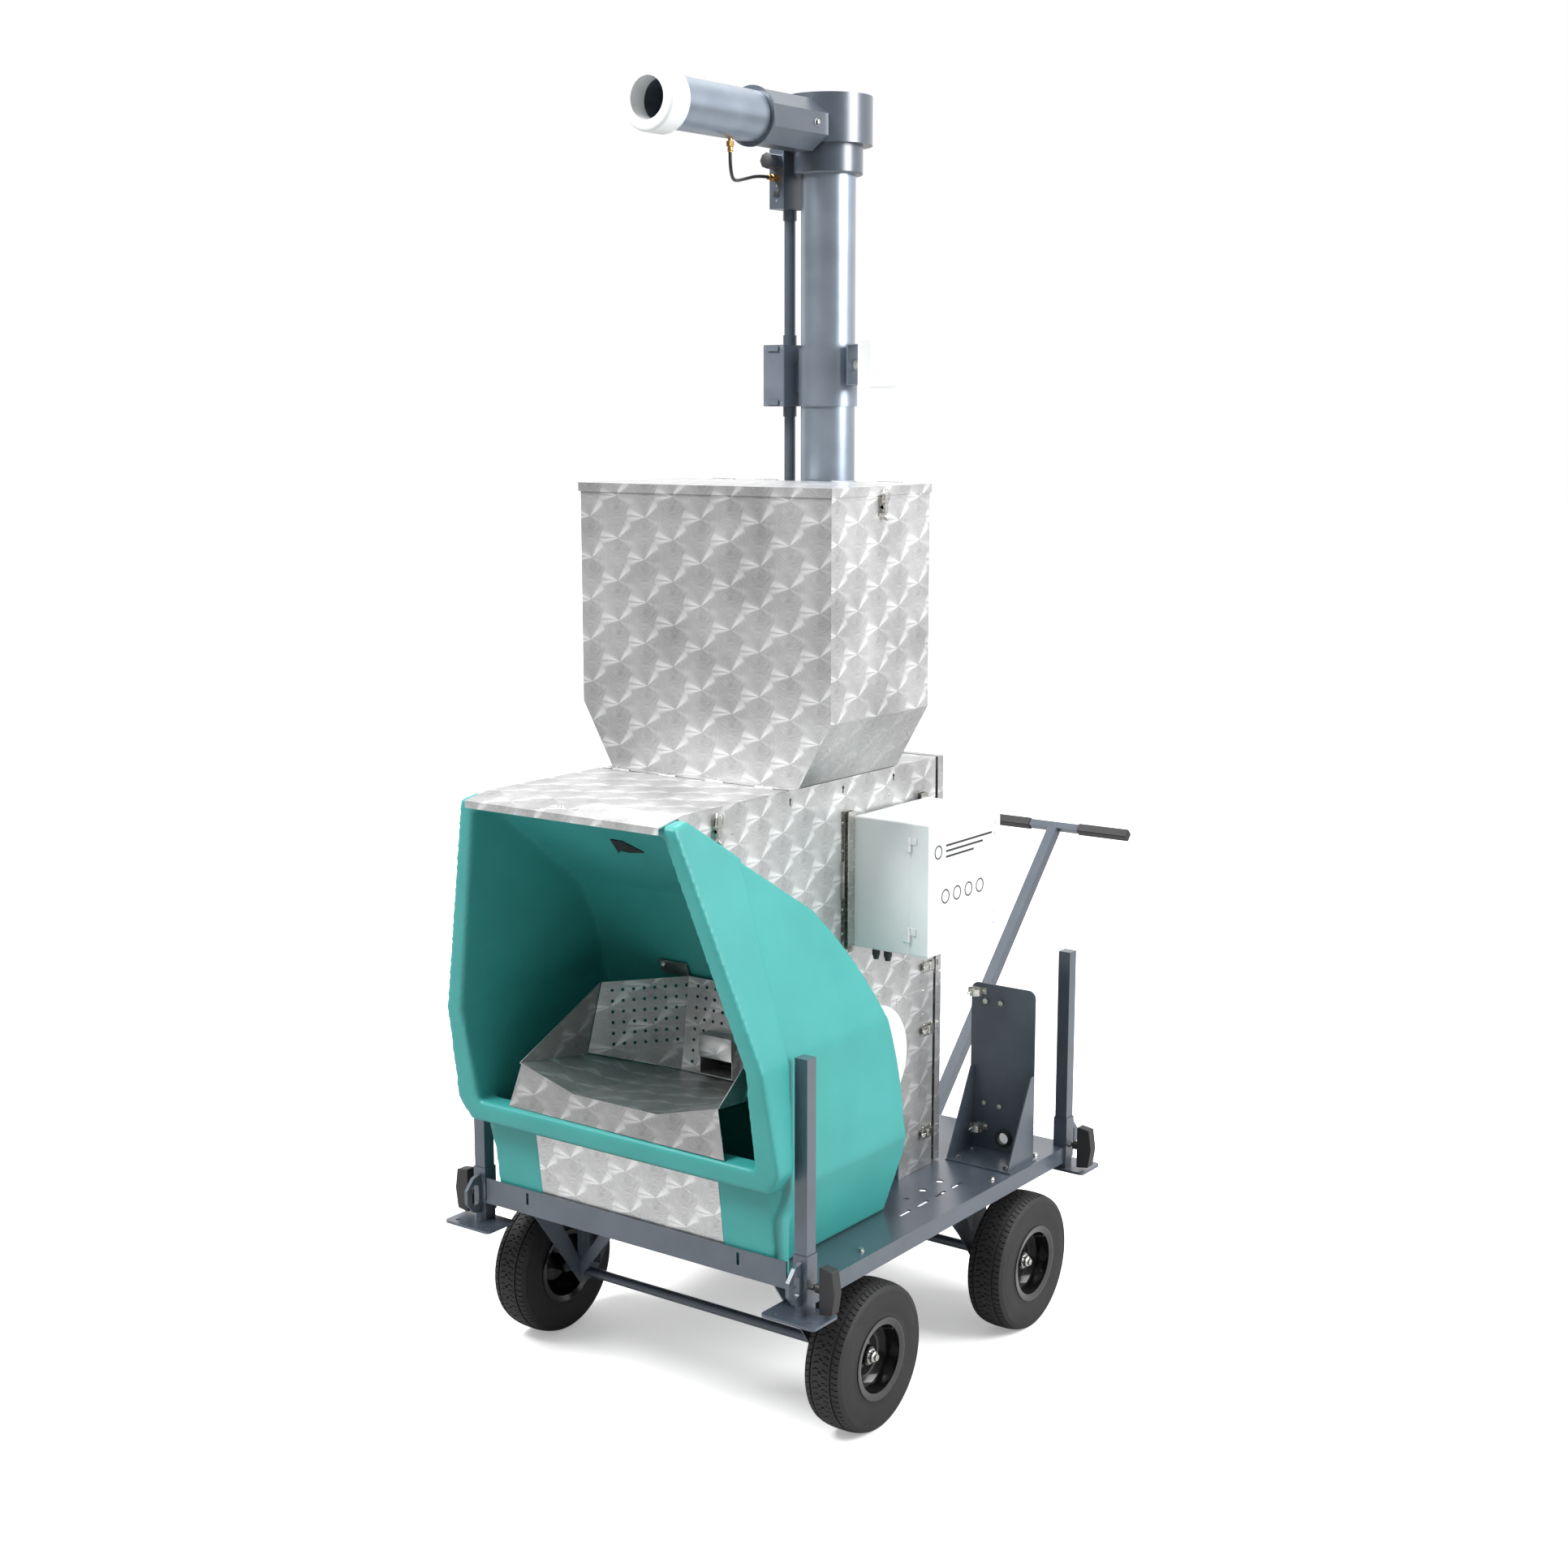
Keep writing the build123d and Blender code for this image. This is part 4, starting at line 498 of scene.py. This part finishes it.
class STATION_OT_wheel_fittings(bpy.types.Operator):
    """Hub nuts, washers and tyre valves"""

    bl_idname = "station.wheel_fittings"
    bl_label = "Wheel fittings"

    def execute(self, context):
        for corner in CORNERS:
            low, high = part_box("tyre_" + corner)
            centre = drawn((low + high) / 2)
            side = 1 if centre.x > 0 else -1
            bm = bmesh.new()
            # washer, nut, its chamfer and the axle's end: start and end past the hub, radii, sides
            for near, far, r1, r2, sides in (
                (0, 1.5, 21.5, 21.5, 32), (1.5, 12, 17.6, 17.6, 6), (12, 14.5, 17.0, 14.0, 6),
                (14, 21, 9.8, 9.2, 24),
            ):
                start, end = (Vector((side * (HUB_FACE + x), centre.y, centre.z)) for x in (near, far))
                rod(bm, start, end, r1, r2, sides)
            finish_piece(
                bm, "hub_nut_" + corner, "cart" if "front" in corner else "steer",
                finish("zinc_steel"), bevel=0.4)
            bm = bmesh.new()
            stem = centre + Vector((side * 22, 62, 62))
            rod(bm, stem, stem + Vector((side * 26, 4, 4)), 4.2, 3.4)
            rod(bm, stem + Vector((side * 24, 4, 4)), stem + Vector((side * 33, 5, 5)), 4.4)
            finish_piece(
                bm, "valve_" + corner, "wheel_" + corner, finish("black_plastic"), bevel=0.4)
        return {"FINISHED"}


class STATION_OT_hood(bpy.types.Operator):
    """The moulded hood with the soft edges that rotational moulding gives"""

    bl_idname = "station.hood"
    bl_label = "Hood"

    def execute(self, context):
        sizes = context.scene.station_sizes
        bm = bmesh.new()
        bm.from_mesh(nodes["hood_shell"].data)
        bmesh.ops.remove_doubles(bm, verts=bm.verts, dist=2e-5)
        hood = finish_piece(bm, "hood_moulding", "cart", finish("teal_moulding"))
        remesh = hood.modifiers.new("even mesh", "REMESH")
        remesh.mode = "VOXEL"
        remesh.voxel_size = sizes.hood_voxel
        whole = bpy.data.meshes.new_from_object(hood.evaluated_get(context.evaluated_depsgraph_get()))
        hood.modifiers.clear()
        bm = bmesh.new()
        bm.from_mesh(whole)
        # the seat of the lower steel panel, low in the middle of the front, keeps its crisp edge
        soft = []
        for v in bm.verts:
            x, y, z = drawn(v.co)
            if not (abs(x) < 345 and y < -710 and z < 775):
                soft.append(v)
        for _ in range(sizes.hood_rounding):
            bmesh.ops.smooth_vert(
                bm, verts=soft, factor=0.5, use_axis_x=True, use_axis_y=True, use_axis_z=True)
        bm.to_mesh(whole)
        bm.free()
        for face in whole.polygons:
            face.use_smooth = True
        hood.data = whole
        hood.data.materials.clear()
        hood.data.materials.append(finish("teal_moulding"))
        thin = hood.modifiers.new("lighter mesh", "DECIMATE")
        thin.ratio = 0.35
        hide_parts("hood_shell")
        return {"FINISHED"}


class STATION_OT_hose(bpy.types.Operator):
    """The air line from the sensor box to the sampling arm"""

    bl_idname = "station.hose"
    bl_label = "Air line"

    def execute(self, context):
        route = (
            (-139, 105, 3467), (-139, 55, 3467), (-115, -42, 3448), (-70, -135, 3433),
            (-30, -205, 3427), (-6, -246, 3437), (0, -259, 3466), (0, -259, 3494),
        )
        curve = bpy.data.curves.new("air_line", "CURVE")
        curve.dimensions = "3D"
        spline = curve.splines.new("NURBS")
        spline.points.add(len(route) - 1)
        for point, place in zip(spline.points, route):
            point.co = (*at(place), 1)
        spline.order_u = 3
        spline.use_endpoint_u = True
        curve.resolution_u = 12
        curve.bevel_depth = 0.00475
        curve.bevel_resolution = 6
        curve.use_fill_caps = True
        hose = bpy.data.objects.new("air_line", curve)
        context.scene.collection.objects.link(hose)
        hose.data.materials.append(finish("black_hose"))
        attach(hose, "cart")
        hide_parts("hose")
        bm = bmesh.new()
        rod(bm, (-139, 104, 3467), (-139, 120, 3467), 7.6, sides=24)
        rod(bm, (-139, 122, 3467), (-139, 134, 3467), 10.5, sides=6)
        rod(bm, (0, -259, 3496), (0, -259, 3509), 7.6, sides=24)
        finish_piece(bm, "air_line_ferrules", "cart", finish("brass"), bevel=0.6)
        return {"FINISHED"}


class STATION_OT_fasteners(bpy.types.Operator):
    """Screws, bolts and rivets that show on the outside"""

    bl_idname = "station.fasteners"
    bl_label = "Fasteners"

    def execute(self, context):
        bm = bmesh.new()
        for x in (-293, -108, 63, 230):
            cap_screw(bm, (x, -424, 1779), (0, 0, 1), 5, 3)
        for x, z in ((399, 987), (454, 988), (399, 658), (455, 655)):
            hex_bolt(bm, (x, 508, z), (0, -1, 0), 6, 5)
        for x, y in ((371, 391), (371, 475), (570, 391), (570, 475)):
            hex_bolt(bm, (x + (8 if x < 400 else -14), y, 510), (0, 0, 1), 6.5, 5)
        for side in (-1, 1):
            for y, z in ((52, 1697), (-700, 1700), (0, 1107)):
                cap_screw(bm, (side * TOWER_SIDE, y, z), (side, 0, 0), 4.5, 2)
        for y, z in ((103, 994), (243, 994), (103, 1068), (243, 1068)):
            cap_screw(bm, (TOWER_SIDE + 2, y, z), (1, 0, 0), 3.5, 2)
        for side in (1, -1):
            hex_bolt(bm, (side * 72.5, 50, 3600), (side, 0, 0), 7, 7)
        for z in (1330, 1400, 1570, 1650):
            cap_screw(bm, (TOWER_SIDE + 2, -189, z), (1, 0, 0), 3.2, 1.6)
        for x in (-235, 235):
            hex_bolt(bm, (x, -298, 1177), (0, -1, 0), 6, 5)
        finish_piece(bm, "outside_fasteners", "cart", finish("zinc_steel"), bevel=0.3)
        bm = bmesh.new()
        for x in (-34, 23):
            cap_screw(bm, (x, -957, 1771.3), (0, -0.18, 1), 8.5, 5)
        finish_piece(bm, "cover_bolts", "cover", finish("zinc_steel"), bevel=0.3)
        return {"FINISHED"}


class STATION_OT_latches(bpy.types.Operator):
    """Wire bails, hooks and rivets of the draw latches"""

    bl_idname = "station.latches"
    bl_label = "Draw latches"

    def execute(self, context):
        bm = bmesh.new()
        for x, y, z in DRAW_LATCHES:
            for dy in (-12, 12):
                for dz in (-22, 6):
                    cap_screw(bm, (x + 2.5, y + dy, z + dz), (1, 0, 0), 3.2, 1.6)
            wire(bm, [
                (x + 11, y - 15, z + 8), (x + 14, y - 15, z + 34), (x + 12, y - 9, z + 44),
                (x + 12, y + 9, z + 44), (x + 14, y + 15, z + 34), (x + 11, y + 15, z + 8)], 1.8)
            rod(bm, (x + 8, y, z - 32), (x + 20, y, z - 38), 7, 4)
            rod(bm, (x + 8, y - 11, z - 4), (x + 8, y + 11, z - 4), 5)
        finish_piece(bm, "lid_latch_wires", "cart", finish("zinc_steel"))
        bm = bmesh.new()
        for z in DOOR_LATCH_HEIGHTS:
            rod(bm, (348, 236, z), (353, 230, z), 7, 5)
            wire(bm, [(347, 276, z - 9), (349, 262, z - 9), (349, 262, z + 9), (347, 276, z + 9)], 1.8)
            cap_screw(bm, (348, 250, z), (1, 0, 0), 3, 1.5)
        finish_piece(bm, "door_latch_wires", "levers", finish("zinc_steel"))
        bm = bmesh.new()
        for z in DOOR_LATCH_HEIGHTS:
            for dy in (250, 294):
                for dz in (-15, 15):
                    cap_screw(bm, (337.5, dy, z + dz * 1.1), (1, 0, 0), 2.6, 1.3)
        finish_piece(bm, "door_latch_rivets", "cart", finish("zinc_steel"))
        return {"FINISHED"}


class STATION_OT_sensor_details(bpy.types.Operator):
    """Plug, socket and panel details at the stack"""

    bl_idname = "station.sensor_details"
    bl_label = "Sensor details"

    def execute(self, context):
        bm = bmesh.new()
        rod(bm, (-139, 146, 3513), (-139, 120, 3513), 19, sides=32)
        rod(bm, (-139, 124, 3513), (-139, 94.5, 3513), 23.4, 21.5, sides=8)
        slab(bm, (-149, -129), (144.2, 146.4), (3414, 3436))
        finish_piece(bm, "sensor_plug", "cart", finish("black_plastic"), bevel=0.8)
        bm = bmesh.new()
        for z in (3404, 3446):
            cap_screw(bm, (-139, 146, z), (0, -1, 0), 3.5, 1.6)
        for z in (2816, 2981):
            for x in (-168, -110):
                cap_screw(bm, (x, 130, z), (0, -1, 0), 3.5, 1.6)
        finish_piece(bm, "sensor_screws", "cart", finish("zinc_steel"), bevel=0.2)
        bm = bmesh.new()
        rod(bm, (103, 213, 2928), (132, 213, 2928), 20, 8, sides=40)
        rod(bm, (130, 213, 2928), (151, 213, 2928), 6)
        finish_piece(bm, "antenna_cone", "cart", finish("white_plastic"), bevel=0.8)
        return {"FINISHED"}


class STATION_OT_cabinet_details(bpy.types.Operator):
    """Door marks, locks and cable glands of the control cabinet"""

    bl_idname = "station.cabinet_details"
    bl_label = "Cabinet details"

    def execute(self, context):
        bm = bmesh.new()
        # three plain bars, and thin rings beside and under them
        door_face = 599
        for k in range(3):
            slab(bm, (door_face, door_face + 0.5), (-60, 190 - 50 * k), (1592 - 16 * k, 1598 - 16 * k))
        for y, z, r in ((-100, 1582, 20), *((-60 + 62 * k, 1450, 21) for k in range(4))):
            ring = ((r - 4, -0.2), (r, -0.2), (r, 0.4), (r - 4, 0.4))
            washer_ring(bm, (door_face + 0.2, y, z), (1, 0, 0), ring, 40)
        finish_piece(bm, "cabinet_door_marks", "cabinet_door", finish("black_plastic"))
        bm = bmesh.new()
        for z in (1330, 1625):
            rod(bm, (598, 214, z), (601.6, 214, z), 9.5, 9.0)
        finish_piece(
            bm, "cabinet_door_locks", "cabinet_door", finish("light_grey_plastic"),
            bevel=0.5)
        bm = bmesh.new()
        for x in (400, 440):
            rod(bm, (x, -110, 1262), (x, -110, 1286.5), 12.2, sides=10)
            rod(bm, (x, -110, 1250), (x, -110, 1263), 8, 10)
        finish_piece(bm, "cable_glands", "cart", finish("black_plastic"), bevel=0.8)
        return {"FINISHED"}


class STATION_OT_hood_details(bpy.types.Operator):
    """Dark window in the hood ceiling and flap on the feed chute"""

    bl_idname = "station.hood_details"
    bl_label = "Hood details"

    def execute(self, context):
        bm = bmesh.new()
        outline = (
            (-7, -792, 1661), (34, -792, 1661), (65, -736, 1624), (-1, -722, 1614.5), (-25, -727, 1618),
            (-49, -707, 1605),
        )
        down = Vector((0, -0.285, -0.428)).normalized()
        face = bm.faces.new([bm.verts.new(at(p) + down * 0.0035) for p in outline])
        body = bmesh.ops.extrude_face_region(bm, geom=[face])
        bmesh.ops.translate(
            bm, verts=[v for v in body["geom"] if isinstance(v, bmesh.types.BMVert)], vec=-down * 0.003)
        finish_piece(bm, "hood_window", "cart", finish("black_plastic"))
        bm = bmesh.new()
        slab(bm, (-59.5, 59.5), (-349, -346.5), (938, 1004.5))
        slab(bm, (-59.5, 59.5), (-349, -344), (1002.5, 1006))
        finish_piece(bm, "chute_flap", "cart", finish("dark_stainless"), bevel=0.4)
        return {"FINISHED"}


class STATION_OT_bracket_details(bpy.types.Operator):
    """Rubber grommet and clamp bands of the bottle bracket"""

    bl_idname = "station.bracket_details"
    bl_label = "Bracket details"

    def execute(self, context):
        bm = bmesh.new()
        # a rubber ring with a lip on each side of the plate
        lips = (
            (18, -6), (21, -8), (27, -7), (28, -2.4), (21.8, -2.2), (21.8, 2.2), (27, 2.4), (26, 6), (18, 6),
        )
        washer_ring(bm, (471, 510, 556), (0, 1, 0), lips, 40)
        finish_piece(bm, "cable_grommet", "cart", finish("black_plastic"))
        bm = bmesh.new()
        for x, z in ((373, 1019), (384, 582)):
            wire(bm, [(x - 4, 466, z), (x - 8, 459, z), (x - 4, 454, z)], 3)
            hex_bolt(bm, (x + 20, 509, z), (0, -1, 0), 4.5, 4)
        finish_piece(bm, "clamp_band_ends", "cart", finish("zinc_steel"))
        return {"FINISHED"}


class STATION_OT_stage(bpy.types.Operator):
    """Floor, lights and camera"""

    bl_idname = "station.stage"
    bl_label = "Stage"

    def execute(self, context):
        scene = context.scene
        bm = bmesh.new()
        bmesh.ops.create_grid(bm, x_segments=1, y_segments=1, size=60)
        bmesh.ops.translate(bm, verts=bm.verts, vec=(0, 0, -0.0006))
        mesh = bpy.data.meshes.new("floor")
        bm.to_mesh(mesh)
        bm.free()
        floor = bpy.data.objects.new("floor", mesh)
        scene.collection.objects.link(floor)
        material, tree, shader = new_material("pale_floor")
        shader.inputs["Roughness"].default_value = 0.9
        shader.inputs["Emission Color"].default_value = linear("#FFFFFF")
        # the sheet brightens to plain white with distance, so no horizon shows
        spot = add(tree, "ShaderNodeTexCoord").outputs["Object"]
        reach = add(tree, "ShaderNodeVectorMath", {0: spot}, operation="LENGTH").outputs["Value"]
        glow = add(tree, "ShaderNodeMapRange", {0: reach, 1: 3.0, 2: 9.0, 3: 0.3, 4: 1.0}).outputs[0]
        # it throws back less light than the eye sees, which keeps the undersides and the hood's inside dark
        seen = add(tree, "ShaderNodeLightPath").outputs["Is Camera Ray"]
        shades = {0: seen, 6: linear("#B4B4B4"), 7: linear("#F7F7F7")}
        shade = add(tree, "ShaderNodeMix", shades, data_type="RGBA")
        glow = add(tree, "ShaderNodeMath", {0: seen, 1: glow}, operation="MULTIPLY").outputs[0]
        tree.links.new(shade.outputs[2], shader.inputs["Base Color"])
        tree.links.new(glow, shader.inputs["Emission Strength"])
        floor.data.materials.append(material)

        world = bpy.data.worlds.new("soft_studio")
        world.use_nodes = True
        tree = world.node_tree
        tree.nodes.clear()
        way = add(tree, "ShaderNodeTexCoord").outputs["Generated"]
        axes = add(tree, "ShaderNodeSeparateXYZ", {0: way})
        # white behind, and in front dark low down, so that the hood's inside stays dark
        back = add(tree, "ShaderNodeMapRange", {0: axes.outputs[1], 1: -0.6, 2: 0.3}).outputs[0]
        sky = add(tree, "ShaderNodeMapRange", {0: axes.outputs[2], 1: 0.05, 2: 0.6, 3: 0.12, 4: 0.9})
        power = add(tree, "ShaderNodeMath", {0: back, 1: sky.outputs[0]}, operation="MAXIMUM").outputs[0]
        # the background itself is plain white from every side
        seen = add(tree, "ShaderNodeLightPath").outputs["Is Camera Ray"]
        power = add(tree, "ShaderNodeMath", {0: power, 1: seen}, operation="MAXIMUM").outputs[0]
        light = add(tree, "ShaderNodeBackground", {0: (1, 1, 1, 1), 1: power})
        output = add(tree, "ShaderNodeOutputWorld")
        tree.links.new(light.outputs[0], output.inputs[0])
        scene.world = world

        # a large soft key from the cabinet side, a high front light and a weak one overhead:
        # place and aim in metres from mid-axles, size of the square in metres, power in watts
        for name, place, aim, size, power in (
            ("key_light", (6.8, 1.6, 4.8), (0, 0, 1.6), 3.5, 600),
            ("front_light", (-2.4, -4.6, 7.6), (0, -0.3, 2.0), 3.0, 760),
            ("top_light", (0.5, 1.5, 8.5), (0, 0, 1.8), 4.0, 260),
        ):
            lamp = bpy.data.lights.new(name, "AREA")
            lamp.shape = "SQUARE"
            lamp.size = size
            lamp.energy = power
            holder = bpy.data.objects.new(name, lamp)
            holder.location = Vector(place) + MID_AXLES
            holder.rotation_euler = (Vector(aim) - Vector(place)).to_track_quat("-Z", "Y").to_euler()
            scene.collection.objects.link(holder)

        lens = bpy.data.cameras.new("camera")
        lens.lens = 50
        lens.sensor_width = 36
        eye = bpy.data.objects.new("camera", lens)
        eye.location = at((3750.6, -5166.5, 2792.0))
        eye.rotation_euler = (math.radians(90 - 9.69), 0, math.radians(36.02))
        scene.collection.objects.link(eye)
        scene.camera = eye
        scene.view_settings.view_transform = "Standard"
        return {"FINISHED"}


# --------------------------------------------------------------------- panel
class STATION_PT_panel(bpy.types.Panel):
    """Lists the station's pieces in the sidebar"""

    bl_idname = "STATION_PT_panel"
    bl_label = "Feeding station"
    bl_space_type = "VIEW_3D"
    bl_region_type = "UI"
    bl_category = "Feeding station"

    def draw(self, context):
        column = self.layout.column()
        for group in (context.scene.station_finish, context.scene.station_sizes):
            for name in group.__annotations__:
                column.prop(group, name)
        for operator in OPERATORS:
            column.operator(operator.bl_idname)


OPERATORS = (
    STATION_OT_stage,
    STATION_OT_frame_finish,
    STATION_OT_hose,
    STATION_OT_hood,
    STATION_OT_tyres,
    STATION_OT_wheel_fittings,
    STATION_OT_fasteners,
    STATION_OT_latches,
    STATION_OT_sensor_details,
    STATION_OT_cabinet_details,
    STATION_OT_hood_details,
    STATION_OT_bracket_details,
)
CLASSES = (StationFinish, StationSizes, *OPERATORS, STATION_PT_panel)


def register():
    for cls in CLASSES:
        bpy.utils.register_class(cls)
    bpy.types.Scene.station_finish = bpy.props.PointerProperty(type=StationFinish)
    bpy.types.Scene.station_sizes = bpy.props.PointerProperty(type=StationSizes)


def unregister():
    del bpy.types.Scene.station_sizes
    del bpy.types.Scene.station_finish
    for cls in reversed(CLASSES):
        bpy.utils.unregister_class(cls)


def main():
    register()
    for operator in OPERATORS:
        family, name = operator.bl_idname.split(".")
        getattr(getattr(bpy.ops, family), name)()


if __name__ == "__main__":
    main()
